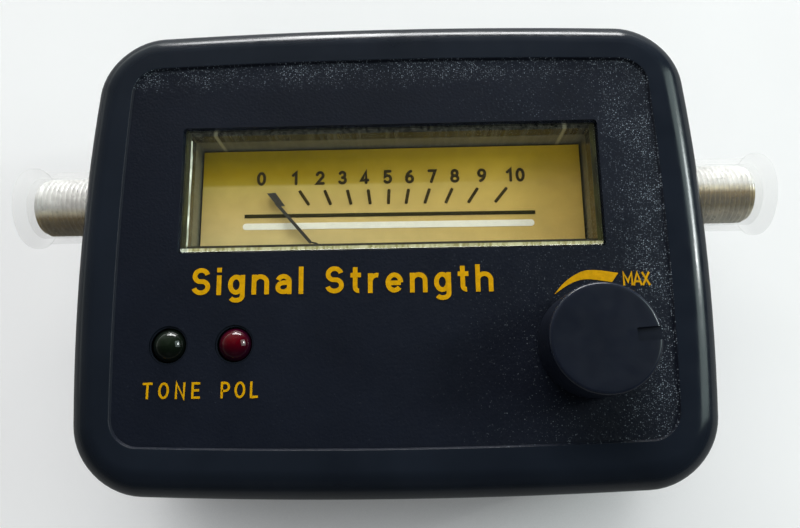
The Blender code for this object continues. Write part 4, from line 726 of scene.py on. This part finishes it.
def make_front_cover(smooth, spark):
    cover = to_piece("front_shell", loft(front_levels()), [smooth, spark])
    under = PANEL_UNDERSIDE - OVERRUN
    over = PANEL_FACE + OVERRUN
    bosses = bmesh.new()
    pilots = bmesh.new()
    for x, y in BOSS_PLACES:
        cylinder(FRONT_BOSS, x, y, BOSS_JOINT + GAP / 2, PANEL_UNDERSIDE + CASE_WALL / 2, 32,
                 bosses)
        cylinder(SCREW_RADIUS + GAP, x, y, BOSS_JOINT - OVERRUN, SCREW_TIP + OVERRUN, 24, pilots)
    openings = round_block((-WINDOW_HALF, WINDOW_LOW, under), (WINDOW_HALF, WINDOW_HIGH, over),
                           WINDOW_CORNER)
    for x, y in LED_PLACES.values():
        cylinder(LED_RADIUS + GAP, x, y, under, over, shape=openings)
    cylinder(BUSHING_HOLE, *KNOB_PLACE, under, over, shape=openings)
    carve(cover, [bosses], [pilots, openings] + socket_cuts())
    texture_flat(cover, PANEL_FACE, 1)
    for face in cover.data.polygons:
        x, y, z = face.center
        within = abs(x) < PANEL_WIDTH / 2 + GAP and abs(y) < PANEL_HEIGHT / 2 + GAP
        inward = face.normal.x * x + face.normal.y * y < 0
        if within and inward and PANEL_FACE + MERGE < z < CASE_DEPTH - MERGE:
            face.material_index = 1
    evenly_shaded(cover)
    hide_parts("front_cover")


def rear_levels():
    """Loops of the rear cover, from the inside's cap over the lip to the outer floor."""
    joint = PARTING - GAP / 2
    levels = bend(CASE_WALL + REAR_DRAFT + INNER_FILLET, CASE_WALL + INNER_FILLET, INNER_FILLET,
                  270, 180, 4)
    levels += [(CASE_WALL + FRONT_DRAFT / 2, LIP_ROOT - LIP_THICKNESS),
               (LIP_INSET + LIP_THICKNESS, LIP_ROOT), (LIP_INSET + LIP_THICKNESS, LIP_TOP),
               (LIP_INSET + EDGE_FILLET, LIP_TOP), (LIP_INSET, LIP_TOP - EDGE_FILLET),
               (LIP_INSET, joint), (EDGE_FILLET, joint), (0, joint - EDGE_FILLET)]
    levels += bend(REAR_DRAFT + REAR_FILLET, REAR_FILLET, REAR_FILLET, 180, 270, 12)
    levels.append((REAR_DRAFT + REAR_FILLET + 1.2 * MM, 0))
    return [(case_loop(inset), level) for inset, level in levels]


def make_rear_cover(smooth, spark):
    cover = to_piece("rear_shell", loft(rear_levels()), [smooth, spark])
    posts = bmesh.new()
    holes = bmesh.new()
    shanks = bmesh.new()
    for x, y in BOSS_PLACES:
        cylinder(REAR_BOSS, x, y, CASE_WALL / 2, BOSS_JOINT - GAP / 2, 40, posts)
        cylinder(HEAD_RADIUS + GAP, x, y, -OVERRUN, COUNTERBORE, 48, holes)
        cylinder(SCREW_RADIUS + GAP, x, y, COUNTERBORE - OVERRUN, BOSS_JOINT + OVERRUN, 32, shanks)
    for x, y in POST_PLACES:
        cylinder(POST_RADIUS, x, y, CASE_WALL / 2, BOARD_BOTTOM - GAP, 32, posts)
        if y < 0:
            cylinder(POST_PILOT, x, y, POST_PILOT_FLOOR, BOARD_BOTTOM, 24, shanks)
    carve(cover, [posts], [holes, shanks] + socket_cuts())
    texture_flat(cover, 0, -1)
    evenly_shaded(cover)
    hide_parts("rear_cover")


def make_case_screws(steel):
    """Cross-head screws at the bottom of the counterbores."""
    seat = COUNTERBORE - GAP
    low = seat - HEAD_HEIGHT
    tip = SCREW_TIP - GAP
    arm, half, depth, soft, point = mm(1.7, 0.35, 1.1, 0.2, 0.3)
    profile = [(0, low)] + arc(0, low + HEAD_DOME, HEAD_RADIUS, HEAD_DOME, -90, 0, 6)[1:]
    profile += [(HEAD_RADIUS, seat - soft), (HEAD_RADIUS - soft, seat), (SCREW_RADIUS, seat),
                (SCREW_RADIUS, tip - 2 * MM), (point, tip), (0, tip)]
    for index, (x, y) in enumerate(BOSS_PLACES, 1):
        shape = revolve(profile, 48, place=at(x, y))
        screw = to_piece(f"screw_{index}", shape, steel)
        cross = [block((x - wide, y - long, low - OVERRUN), (x + wide, y + long, low + depth))
                 for wide, long in ((arm, half), (half, arm))]
        carve(screw, cut=cross)
        evenly_shaded(screw)
        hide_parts(f"case_screw_{index}")


# Meter

def make_meter_cover(pane_look, wall_look, rim_look, glint_look, shade_line_look):
    """Clear cover: a pane in the window on its moulded walls, a flange behind the panel and the
    pod over the pivot."""
    side = WINDOW_HALF - GAP
    low = WINDOW_LOW + GAP
    high = WINDOW_HIGH - GAP
    shoulder = PANEL_UNDERSIDE - GAP
    pane = PANEL_FACE - GAP
    corner = 0.4 * MM
    inner = POD_HALF - POD_WALL
    crest = pane - PANE_THICKNESS - 2 * SKIN
    plate = round_block((-side, low, pane - PANE_THICKNESS), (side, high, pane), corner, 0.2 * MM)
    cover = to_piece("clear_meter_cover", plate, pane_look)
    evenly_shaded(cover)
    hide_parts("meter_cover")
    shape = block((-side - METER_FLANGE, low - METER_FLANGE, METER_JOINT),
                  (side + METER_FLANGE, high + METER_FLANGE, shoulder))
    walls = to_piece("meter_cover_walls", shape, wall_look)
    raised = round_block((-side, low, METER_JOINT + OVERRUN), (side, high, crest), corner)
    pod = block((-POD_HALF, PIVOT_Y - POD_HALF, METER_JOINT),
                (POD_HALF, WINDOW_LOW + OVERRUN, shoulder))
    hollow = round_block((METER_WALL - side, low + METER_WALL, METER_JOINT - OVERRUN),
                         (side - METER_WALL, high - METER_WALL, pane), corner)
    pod_hollow = block((-inner, PIVOT_Y - inner, METER_JOINT - OVERRUN),
                       (inner, low + METER_WALL + OVERRUN, shoulder - PANE_THICKNESS))
    carve(walls, [raised, pod], [hollow, pod_hollow])
    # Thin trims on the crest of the walls, seen through the pane; they carry painted light and
    # shade
    top = crest + SKIN
    foot = low + METER_WALL
    left = METER_WALL - side
    rims = block((-side + SKIN, foot, crest), (left, high - SKIN, top))
    block((-left, foot, crest), (side - SKIN, high - SKIN, top), rims)
    to_piece("window_rims", rims, rim_look)
    glints = block((-side + SKIN, low + SKIN, crest), (side - SKIN, foot - SKIN, top))
    # Painted highlight: a thin tapered strip along the left wall's inner top edge.
    highlight_line = 0.3 * MM
    highlight_line_top = high - 2 * METER_WALL
    bright = [(left, foot), (left + highlight_line * 0.7, foot), (left + highlight_line, high - 6 * METER_WALL),
              (left + highlight_line / 2, highlight_line_top), (left, highlight_line_top)]
    loft([(bright, crest - 2 * SKIN), (bright, top)], glints)
    to_piece("window_glints", glints, glint_look)
    # Painted shadow: a thin dark strip along the window's foot.
    shade_line = block((left, foot - SKIN, crest), (-left, foot + 6 * SKIN, top))
    to_piece("window_shade_line", shade_line, shade_line_look)


def path(*hundredths):
    """Points from their coordinates in hundredths."""
    numbers = [number / 100 for number in hundredths]
    return list(zip(numbers[::2], numbers[1::2]))


def stem(x, top=1.0, foot=0.0):
    return [(x, foot), (x, top)]


def ring(x, y, reach_x, reach_y, steps=24):
    return arc(x, y, reach_x, reach_y, 0, 360, steps)


# Strokes of each digit in a box one unit high
DIGITS = {
    "0": [ring(0.29, 0.5, 0.23, 0.42, 28)],
    "1": [path(10, 72, 32, 92, 32, 8)],
    "2": [arc(0.29, 0.68, 0.22, 0.24, 165, -25) + path(8, 8, 53, 8)],
    "3": [arc(0.27, 0.71, 0.19, 0.21, 150, -90), arc(0.27, 0.29, 0.23, 0.21, 90, -150)],
    "4": [path(40, 8, 40, 92, 7, 28, 55, 28)],
    "5": [path(48, 92, 13, 92, 11, 54) + arc(0.27, 0.34, 0.24, 0.26, 120, -140)],
    "6": [ring(0.29, 0.32, 0.22, 0.24), arc(0.5, 0.34, 0.43, 0.58, 104, 176)],
    "7": [path(6, 92, 52, 92, 22, 8)],
    "8": [ring(0.29, 0.71, 0.19, 0.21), ring(0.29, 0.29, 0.23, 0.21)],
    "9": [ring(0.29, 0.68, 0.22, 0.24), arc(0.08, 0.66, 0.43, 0.58, -76, -4)],
}
DIGIT_WIDTH = 0.58
DIGIT_PITCH = 0.72
DIGIT_STROKE = 0.215

# Each letter's width and strokes, in units of a capital's height
HUMP = path(10, 42) + arc(0.33, 0.43, 0.23, 0.22, 180, 0) + path(56, 0)
LETTERS = {
    "S": (0.68, [arc(0.34, 0.7, 0.23, 0.21, 12, 250) + arc(0.34, 0.3, 0.25, 0.21, 68, -166)]),
    "i": (0.2, [stem(0.1, 0.72), stem(0.1, 1.0, 0.83)]),
    "g": (0.64, [ring(0.31, 0.37, 0.21, 0.28),
                 path(54, 72) + arc(0.32, -0.04, 0.22, 0.16, 0, -150)]),
    "n": (0.65, [stem(0.1, 0.72), HUMP]),
    "h": (0.65, [stem(0.1), HUMP]),
    "a": (0.62, [arc(0.3, 0.44, 0.21, 0.21, 158, 0) + path(51, 0),
                 path(51, 42, 30, 42) + arc(0.28, 0.25, 0.18, 0.16, 90, 270)
                 + path(36, 9, 51, 20)]),
    "l": (0.2, [stem(0.1)]),
    "t": (0.42, [path(19, 95, 19, 24) + arc(0.32, 0.22, 0.13, 0.13, 180, 275),
                 path(2, 66, 40, 66)]),
    "r": (0.42, [stem(0.1, 0.72), arc(0.34, 0.4, 0.24, 0.25, 180, 78)]),
    "e": (0.66, [path(56, 37) + arc(0.33, 0.37, 0.23, 0.28, 8, 322, 24), path(10, 36, 56, 36)]),
    "T": (0.6, [path(0, 93, 60, 93), stem(0.3, 0.93)]),
    "O": (0.64, [ring(0.32, 0.5, 0.26, 0.43, 28)]),
    "N": (0.62, [path(7, 0, 7, 97, 55, 3, 55, 100)]),
    "E": (0.54, [path(52, 93, 7, 93, 7, 7, 54, 7), path(7, 51, 47, 51)]),
    "P": (0.56, [path(7, 0, 7, 93, 28, 93) + arc(0.28, 0.69, 0.22, 0.24, 88, -88)
                 + path(28, 45, 7, 45)]),
    "L": (0.5, [path(7, 100, 7, 7, 50, 7)]),
    "M": (0.74, [path(7, 0, 7, 95, 37, 30, 67, 95, 67, 0)]),
    "A": (0.64, [path(3, 0, 32, 95, 61, 0), path(12, 30, 52, 30)]),
    "X": (0.6, [path(4, 0, 56, 100), path(4, 100, 56, 0)]),
    " ": (0.34, []),
}


def draw_sign(lines, left, baseline, height, weight, bottom, shape, steps):
    """Strokes of one digit or letter; each lies a little higher than the one before."""
    for layer, line in enumerate(lines):
        points = [(left + x * height, baseline + y * height) for x, y in line]
        stroke(points, weight * height, bottom, shape, steps, SKIN + layer * INK_STEP)


def make_number(text, middle, height, bottom, shape):
    """Number in rounded strokes, centred on a place."""
    span = DIGIT_WIDTH + DIGIT_PITCH * (len(text) - 1)
    for index, digit in enumerate(text):
        left = middle[0] + (DIGIT_PITCH * index - span / 2) * height
        baseline = middle[1] - 0.5 * height + PRINT_SLOPE * left
        draw_sign(DIGITS[digit], left, baseline, height, DIGIT_STROKE, bottom, shape, 4)


def words(name, text, look, left, right, baseline, height, weight):
    """Flat printed lettering in even strokes, spaced to fill the width between left and right;
    places and height in millimetres."""
    left, right, baseline, height = mm(left, right, baseline, height)
    natural = sum(LETTERS[letter][0] for letter in text) * height
    space = (right - left - natural) / (len(text) - 1)
    shape = bmesh.new()
    for letter in text:
        width, lines = LETTERS[letter]
        draw_sign(lines, left, baseline, height, weight, PANEL_FACE + INK_LIFT, shape, 1)
        left += width * height + space
        baseline += PRINT_SLOPE * (width * height + space)
    return to_piece(name, shape, look)


def make_dial(paper, brown, black, cream):
    """Dial face with its numbers, ticks and two lines."""
    paint("dial_plate", paper)
    face = DIAL_FACE + INK_LIFT
    numbers = bmesh.new()
    for number, x in enumerate(NUMBER_MIDDLES):
        make_number(str(number), mm(x, 12.645), 2.2 * MM, face, numbers)
    to_piece("dial_numbers", numbers, brown)
    ticks = bmesh.new()
    for top, foot in zip(TICK_TOPS, TICK_FEET):
        ends = [mm(x, y + PRINT_SLOPE * x) for x, y in ((foot, 8.27), (top, 10.42))]
        stroke(ends, 0.5 * MM, face, ticks, 2)
    to_piece("dial_ticks", ticks, brown)
    line = stroke([mm(-23.33, 6.53), mm(22.67, 6.29)], 0.6 * MM, face, bmesh.new(), 1)
    to_piece("dial_black_line", line, black)
    stripe = stroke([mm(-23.05, 4.82), mm(21.9, 4.59)], 1.05 * MM, face, bmesh.new(), 8)
    to_piece("dial_cream_line", stripe, cream)


def make_pointer(look):
    """Needle: hub and tail in the pod, a crank at the window's foot, and a flat shaft and flag."""
    lift = POINTER_LEVEL - 0.15 * MM
    along = Vector((-math.sin(POINTER_REST), math.cos(POINTER_REST)))
    across = Vector((along.y, -along.x))

    def line(*places):
        """Points by their millimetres to the right of the needle's axis and up it."""
        pivot = Vector((0, PIVOT_Y))
        return [pivot + across * right * MM + along * up * MM for right, up in places]

    def bar(places, width, thickness=0.3 * MM):
        return stroke(line(*places), width, lift, bmesh.new(), thickness=thickness)

    hub = oblong(0.9 * MM, 1.6 * MM, lift - 0.2 * MM, lift + 0.5 * MM)
    needle = to_piece("needle", revolve(hub, 36, place=at(0, PIVOT_Y)), look, "pointer")
    crank = ((0.19, 1.2), (0.19, 18.0), (0.14, 18.35), (-0.38, 19.05), (-0.5, 19.5))
    flag = line((-0.66, 27.1), (0.26, 26.4), (0.5, 28.97), (-0.6, 29.8))
    weight = revolve(oblong(*mm(0, 0.8, 0, 0.8)), 28,
                     place=at(*line((0, -5.5))[0], lift - 0.25 * MM))
    tools = [bar(crank, 0.22 * MM, 0.28 * MM), bar(((-0.47, 19.2), (-0.5, 27.6)), 0.5 * MM),
             loft([(flag, lift - 0.02 * MM), (flag, lift + 0.32 * MM)]),
             bar(((0, -1.2), (0, -4.8)), 0.3 * MM), weight]
    carve(needle, tools, body="pointer")
    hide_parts("pointer")


# Panel print

def smooth_line(points, steps):
    """Points along a soft curve through the given ones."""
    padded = [points[0]] + list(points) + [points[-1]]
    line = []
    for corners in zip(padded, padded[1:], padded[2:], padded[3:]):
        for step in range(steps):
            t = step / steps
            line.append(tuple(0.5 * (2 * b + (c - a) * t + (2 * a - 5 * b + 4 * c - d) * t * t
                                     + (3 * b - a - 3 * c + d) * t ** 3)
                              for a, b, c, d in zip(*corners)))
    line.append(points[-1])
    return line


def make_wedge(gold):
    """Sweep wedge round the knob, thin at its left tip and broad at its right end."""
    outer = [(23.4, -8.1), (25.1, -6.25), (27.52, -4.81), (29.72, -4.62), (32.82, -5.09)]
    inner = [(31.81, -6.44), (28.31, -5.92), (25.91, -6.51)]
    outline = smooth_line(outer, 5) + smooth_line(inner + [outer[0]], 5)[:-1]
    outline = [mm(*point) for point in outline]
    bottom = PANEL_FACE + INK_LIFT
    to_piece("sweep_wedge", loft([(outline, bottom), (outline, bottom + SKIN)]), gold)


def make_lettering(gold):
    words("title", "Signal Strength", gold, -29.07, 14.8, -7.24, 4.05, 0.168)
    words("label_right", "MAX", gold, 33.4, 37.3, -6.95, 1.95, 0.15)
    words("label_green", "TONE", gold, -35.3, -27.1, -21.96, 2.3, 0.14)
    words("label_red", "POL", gold, -24.2, -18.9, -22.0, 2.3, 0.14)


# Knob, LEDs, sockets and caps

def make_knob(look, edge_look):
    """Moulded knob with a soft, worn top edge and a pointer slot."""
    roof = KNOB_TOP - 1.8 * MM
    skirt = KNOB_RADIUS - 1.4 * MM
    boss, bore, boss_depth, soft = mm(4.4, 3.3, 5, 0.2)
    slot_start, slot_half, slot_depth, slot_soft = mm(4.1, 0.9, 0.5, 0.15)
    profile = [(0, KNOB_TOP), (KNOB_TOP_RADIUS - 2 * KNOB_EDGE, KNOB_TOP)]
    profile += bend(KNOB_TOP_RADIUS - KNOB_EDGE, KNOB_TOP - KNOB_EDGE, KNOB_EDGE, 90, 0, 7)
    profile += [(KNOB_RADIUS, KNOB_BOTTOM + soft), (KNOB_RADIUS - soft, KNOB_BOTTOM),
                (skirt, KNOB_BOTTOM), (skirt, roof), (boss, roof), (boss, roof - boss_depth),
                (bore, roof - boss_depth), (bore, roof), (0, roof)]
    shape = revolve(profile, 144, place=at(*KNOB_PLACE))
    knob = to_piece("knob_body", shape, look, "knob")
    slot = block((slot_start, -slot_half, KNOB_TOP - slot_depth),
                 (KNOB_RADIUS + OVERRUN, slot_half, KNOB_TOP + OVERRUN))
    crosswise = [line for line in slot.edges
                 if abs(line.verts[0].co.x - line.verts[1].co.x) < MERGE]
    bmesh.ops.bevel(slot, geom=crosswise, offset=slot_soft, segments=2, profile=0.5,
                    affect="EDGES")
    place = at(*KNOB_PLACE) @ Matrix.Rotation(KNOB_SLOT_TURN, 4, "Z")
    bmesh.ops.transform(slot, matrix=place, verts=slot.verts)
    carve(knob, cut=[slot], body="knob")
    knob.data.materials.append(edge_look)
    for face in knob.data.polygons:
        if 0.15 < face.normal.z < 0.985 and face.center.z > KNOB_TOP - KNOB_EDGE:
            face.material_index = 1
    evenly_shaded(knob)
    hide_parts("knob")


def make_leds(looks, collar_look):
    """Domes with their legs, each in a thin black collar that fills its hole."""
    seat = 0.02 * MM
    brim = LED_BASE + 1.0 * MM
    collar = oblong(LED_RADIUS + seat, LED_RADIUS + GAP - seat, PANEL_FACE - 0.4 * MM,
                    PANEL_FACE - 0.2 * MM)
    profile = [(0, LED_TOP)] + bend(0, LED_TOP - LED_RADIUS, LED_RADIUS, 90, 0, 20)[1:]
    profile += [(LED_RADIUS, LED_BASE + 1.2 * MM), (LED_RADIUS + 0.1 * MM, brim), (LED_RIM, brim),
                (LED_RIM, LED_BASE), (0, LED_BASE)]
    for name, (x, y) in LED_PLACES.items():
        led = to_piece(name + "_dome", revolve(profile, place=at(x, y)), looks[name])
        legs = bmesh.new()
        for middle in (x - LED_LEG_SPACE, x + LED_LEG_SPACE):
            block((middle - LED_LEG, y - LED_LEG, LED_LEG_FOOT),
                  (middle + LED_LEG, y + LED_LEG, LED_BASE + 0.5 * MM), legs)
        carve(led, [legs])
        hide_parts(name)
        to_piece(name + "_collar", revolve(collar, place=at(x, y)), collar_look)


def thread_radius(height, start, end):
    """Radius of the helical thread at a height, as a function of the share of the turn."""
    fade = min(1.0, (end - height) / THREAD_PITCH, (height - start) / THREAD_PITCH)

    def radius(turn):
        share = (height / THREAD_PITCH - turn) % 1.0
        slope = 1 - abs(2 * share - 1)
        lift = min(1.0, max(0.0, (slope - THREAD_FLAT) / (1 - 2 * THREAD_FLAT)))
        return THREAD_ROOT + THREAD_DEPTH * lift * max(0.0, fade)

    return radius


def make_sockets(look, cream):
    """Threaded barrels and their insulators."""
    soft = 0.2 * MM
    start = CASE_WIDTH / 2 - CASE_WALL / 2
    end = SOCKET_END - soft
    step = THREAD_PITCH / 8
    heights = [start + index * step for index in range(int((end - start) / step) + 1)]
    barrel = [(SOCKET_BORE, SOCKET_TAIL), (SOCKET_TAIL_RADIUS, SOCKET_TAIL),
              (SOCKET_TAIL_RADIUS, SOCKET_FLANGE_START), (SOCKET_FLANGE, SOCKET_FLANGE_START),
              (SOCKET_FLANGE, SOCKET_START), (THREAD_ROOT, SOCKET_START)]
    barrel += [(thread_radius(height, start, end), height) for height in heights]
    barrel += [(THREAD_ROOT, SOCKET_END - 0.15 * MM), (THREAD_ROOT - 0.15 * MM, SOCKET_END),
               (SOCKET_BORE + soft, SOCKET_END), (SOCKET_BORE, SOCKET_END - soft)]
    face = SOCKET_END - 0.6 * MM
    plug = SOCKET_BORE - GAP
    hole = 0.8 * MM
    insulator = [(hole, face - 0.5 * MM), (1.1 * MM, face), (plug - soft, face),
                 (plug, face - soft), (plug, SOCKET_TAIL), (hole, SOCKET_TAIL)]
    for name, side in SIDES.items():
        shape = revolve(barrel, place=sideways(side))
        socket = to_piece(f"threaded_socket_{name}", shape, look,
                          sharp=math.radians(50))
        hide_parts(f"socket_{name}")
        shape = revolve(insulator, 48, place=sideways(side))
        piece = to_piece(f"insulator_{name}", shape, cream)
        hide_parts(f"socket_insulator_{name}")


def make_caps(look):
    """Push-on caps with a rim at the closed end, moulding fillets and a gate mark."""
    bore = THREAD_RADIUS + GAP
    floor = CAP_END - CAP_FLOOR
    edge = CAP_EDGE
    soft = 0.2 * MM
    gate = CAP_END - 0.1 * MM
    profile = [(0, gate), (0.6 * MM, gate), (0.8 * MM, CAP_END), (CAP_FLANGE - 2 * edge, CAP_END)]
    profile += bend(CAP_FLANGE - edge, CAP_END - edge, edge, 90, 0, 5)
    profile += arc(CAP_FLANGE - edge, floor + edge / 2, edge, edge / 2, 0, -90, 5)
    profile += [(CAP_RADIUS + edge, floor - edge / 2), (CAP_RADIUS, floor - 2 * edge),
                (CAP_RADIUS, CAP_MOUTH + soft), (CAP_RADIUS - soft, CAP_MOUTH),
                (bore + soft, CAP_MOUTH), (bore, CAP_MOUTH + soft), (bore, floor - edge),
                (bore - edge, floor), (0, floor)]
    for name, side in SIDES.items():
        cap = to_piece(f"dust_cap_{name}", revolve(profile, 112, place=sideways(side)), look,
                       f"cap_{name}")
        evenly_shaded(cap)
        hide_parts(f"cap_{name}")


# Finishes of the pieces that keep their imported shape

def paint(nodes, look):
    """Give a look to nodes, named in one string."""
    for name in nodes.split():
        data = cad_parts[name].data
        data.materials.clear()
        data.materials.append(look)


def paint_inner_pieces(steel, brass):
    paint("potentiometer_housing yoke_ring magnet_core", steel)
    paint("board_screw_1 board_screw_2 board_screw_3 board_screw_4", steel)
    paint("bridge_front bridge_rear jewel_screw_front jewel_screw_rear", brass)
    paint("hairspring_upper hairspring_lower dial_screw_left dial_screw_right", brass)
    paint("meter_terminal_left meter_terminal_right", brass)
    paint("socket_contact_left socket_contact_right", brass)
    paint("pivot_upper pivot_lower", brushed("pivot_steel", (0.5, 0.5, 0.52), 0.2))
    paint("moving_coil", brushed("coil_copper", (0.62, 0.26, 0.11), 0.35))
    paint("circuit_board", board_finish())
    for nodes, name, colour, roughness in (
            ("meter_body potentiometer_wiper comparator_chip voltage_regulator "
             "transistor_left transistor_right", "inner_black", (0.012, 0.012, 0.013), 0.55),
            ("potentiometer_shaft", "shaft_plastic", (0.55, 0.52, 0.45), 0.5),
            ("meter_wire_left", "wire_red", (0.35, 0.012, 0.015), 0.45),
            ("meter_wire_right", "wire_black", (0.015, 0.015, 0.016), 0.45),
            ("capacitor_large capacitor_small trimmer", "blue_sleeve", (0.012, 0.03, 0.2), 0.35),
            ("choke", "ferrite", (0.06, 0.055, 0.05), 0.7),
            ("resistor_1 resistor_2", "resistor_tan", (0.5, 0.36, 0.2), 0.45)):
        paint(nodes, plain_finish(name, colour, roughness))


# Stage

def make_floor():
    """Pale floor that keeps the object's shadow and looks near white to the camera, with a painted
    contact shadow near the case.
    """
    shape = bmesh.new()
    bmesh.ops.create_grid(shape, x_segments=8, y_segments=8, size=3.0)
    floor = to_object("floor", shape)
    floor.location = (0, 0, -0.02 * MM)
    look = new_look("floor_paper", FLOOR_COLOUR, 0.9)
    rays = add_node(look, "LightPath").outputs
    dim = combine("MULTIPLY", rays["Is Glossy Ray"], 0.6)
    tone = mix_colours(dim, drift(look, FLOOR_COLOUR, 60, 0.97, 1.03), (0.0, 0.0, 0.0))
    seen = combine("MAXIMUM", rays["Is Camera Ray"], rays["Is Transmission Ray"])
    seen = combine("MAXIMUM", seen, combine("MULTIPLY", rays["Is Glossy Ray"], MIRRORED_SHARE))
    # Painted shadow: the floor's glow is dimmed near the case, most in front of it.
    nearness = add_node(look, "AmbientOcclusion", samples=8, Distance=SHADE_REACH)
    lean = add_node(look, "CombineXYZ", Y=0.71, Z=0.71)
    feed(nearness.inputs["Normal"], lean.outputs[0])
    open_share = remap(nearness.outputs["AO"], 0.05, 1.0, 0.25, 0.78)
    lift = combine("MULTIPLY", combine("MULTIPLY", seen, open_share), BACKGROUND_LIFT)
    dress(look, Base_Color=tone, Emission_Color=(0.97, 0.98, 1.0), Emission_Strength=lift)
    floor.data.materials.append(look)


def make_world():
    """Low bright horizon at the back and sides, and a dim overhead."""
    world = bpy.data.worlds.new("studio")
    world.use_nodes = True
    background = world.node_tree.nodes["Background"].inputs
    feed(background["Color"], HORIZON_TONE)
    way = add_node(world, "SeparateXYZ")
    feed(way.inputs[0], add_node(world, "TexCoord").outputs["Generated"])
    by_height = ramp(way.outputs["Z"], greys(HEIGHT_LEVELS))
    azimuth = combine("ARCTAN2", way.outputs["Y"], way.outputs["X"])
    around = ramp(remap(azimuth, 0.0, 1.0, -math.pi, math.pi),
                  greys(((degrees + 180) / 360, level) for degrees, level in AROUND_LEVELS))
    strength = add_node(world, "MapRange")
    feed(strength.inputs[0], add_node(world, "LightPath").outputs["Is Camera Ray"])
    feed(strength.inputs[3], combine("MULTIPLY", by_height, around))
    feed(strength.inputs[4], HORIZON_LIFT)
    feed(background["Strength"], strength.outputs[0])
    bpy.context.scene.world = world


def add_lamp(name, azimuth, elevation, distance, size, radiance, colour=(1, 1, 1), mirrored=True):
    """Panel lamp of a given radiance, in a direction from the object and aimed at it."""
    across = math.radians(azimuth)
    up = math.radians(elevation)
    way = Vector((math.cos(across) * math.cos(up), math.sin(across) * math.cos(up), math.sin(up)))
    data = bpy.data.lights.new(name, "AREA")
    data.shape = "RECTANGLE"
    data.size, data.size_y = size
    data.energy = radiance * math.pi * size[0] * size[1]
    data.color = colour
    lamp = bpy.data.objects.new(name, data)
    lamp.location = LAMP_AIM + way * distance
    lamp.rotation_euler = (-way).to_track_quat("-Z", "Y").to_euler()
    lamp.visible_glossy = mirrored
    bpy.context.scene.collection.objects.link(lamp)


def make_lamps():
    add_lamp("key", 96, 42, 0.9, (0.9, 0.36), 4.7, (1.0, 1.0, 0.98), mirrored=False)
    add_lamp("front_fill", -95, 35, 1.0, (0.6, 0.3), 2.6, (0.97, 0.98, 1.0), mirrored=False)
    add_lamp("side_right", 15, 32, 0.9, (0.62, 0.5), 2.1, (0.8, 1.0, 0.95))
    add_lamp("core_right", 17, 27, 0.95, (0.22, 0.13), 16.0, (0.93, 1.0, 1.0))
    add_lamp("top_strip_right", 79, 10.5, 0.9, (0.34, 0.17), 14.0)
    add_lamp("top_strip_middle", 96, 10.5, 0.9, (0.16, 0.28), 15.0)
    add_lamp("top_strip_left", 106, 13, 0.9, (0.14, 0.16), 11.0)
    add_lamp("spot", 13, 31, 1.0, (0.032, 0.032), 200.0)


def make_camera():
    data = bpy.data.cameras.new("camera")
    data.lens = CAMERA_LENS
    data.sensor_width = SENSOR_WIDTH
    data.clip_start = 0.01
    camera = bpy.data.objects.new("camera", data)
    camera.location = CAMERA_PLACE
    camera.rotation_euler = CAMERA_TURN
    bpy.context.scene.collection.objects.link(camera)
    bpy.context.scene.camera = camera


make_camera()
make_floor()
make_world()
make_lamps()
smooth_case = finish("smooth_black", RIM_SHEEN_BLACK, 0.16, tone=(0.15, 12),
                     rough=(0.14, 0.22, 3), grain=(0.004, 0.6),
                     Specular_IOR_Level=0.5)
spark_case = spark_black()
steel_finish = brushed("steel", (0.42, 0.42, 0.43), 0.35)
brass_finish = brushed("brass", (0.62, 0.44, 0.18))
gold_ink = ink("gold_ink", PRINT_GOLD, 0.5)
make_front_cover(smooth_case, spark_case)
make_rear_cover(smooth_case, spark_case)
make_case_screws(steel_finish)
make_meter_cover(clear_pane(), wall_streaks(), wall_rim(), wall_glint(),
                 plain_finish("crease_shadow", (0.02, 0.016, 0.006), 0.5, 0.2))
make_dial(dial_paper(), ink("brown_ink", (0.04, 0.026, 0.004)),
          ink("black_ink", (0.026, 0.021, 0.003)),
          ink("cream_ink", (0.97, 0.93, 0.82), spread=0.03))
make_pointer(plain_finish("pointer_grey", (0.034, 0.03, 0.024), 0.5, 0.2))
make_wedge(gold_ink)
make_lettering(gold_ink)
make_knob(finish("knob_black", scaled(BLACK, 1.15), 0.36, tone=(0.12, 5),
                 rough=(0.32, 0.42, 1.5), grain=(0.006, 0.3, 4.0),
                 Specular_IOR_Level=0.35),
          plain_finish("rubbed_edge", scaled(BLACK, 1.6), 0.2, 0.3, 0.002))
make_leds({"led_green": led_epoxy("green_epoxy", (0.013, 0.022, 0.012), (0.005, 0.008, 0.006)),
           "led_red": led_epoxy("red_epoxy", (0.16, 0.001, 0.005), (0.028, 0.002, 0.014))},
          smooth_case)
make_sockets(nickel(), plain_finish("cream_plastic", (0.72, 0.68, 0.56), 0.5))
make_caps(finish("clear_cap", (0.98, 0.975, 0.95), 0.22, tone=(0.02, 3),
                 rough=(0.15, 0.3, 2), grain=(0.004, 0.5, 3.0, (0.2, 1, 1)),
                 IOR=1.46, Alpha=0.09))
paint_inner_pieces(steel_finish, brass_finish)

bpy.context.scene.view_settings.view_transform = "Standard"
bpy.context.view_layer.update()
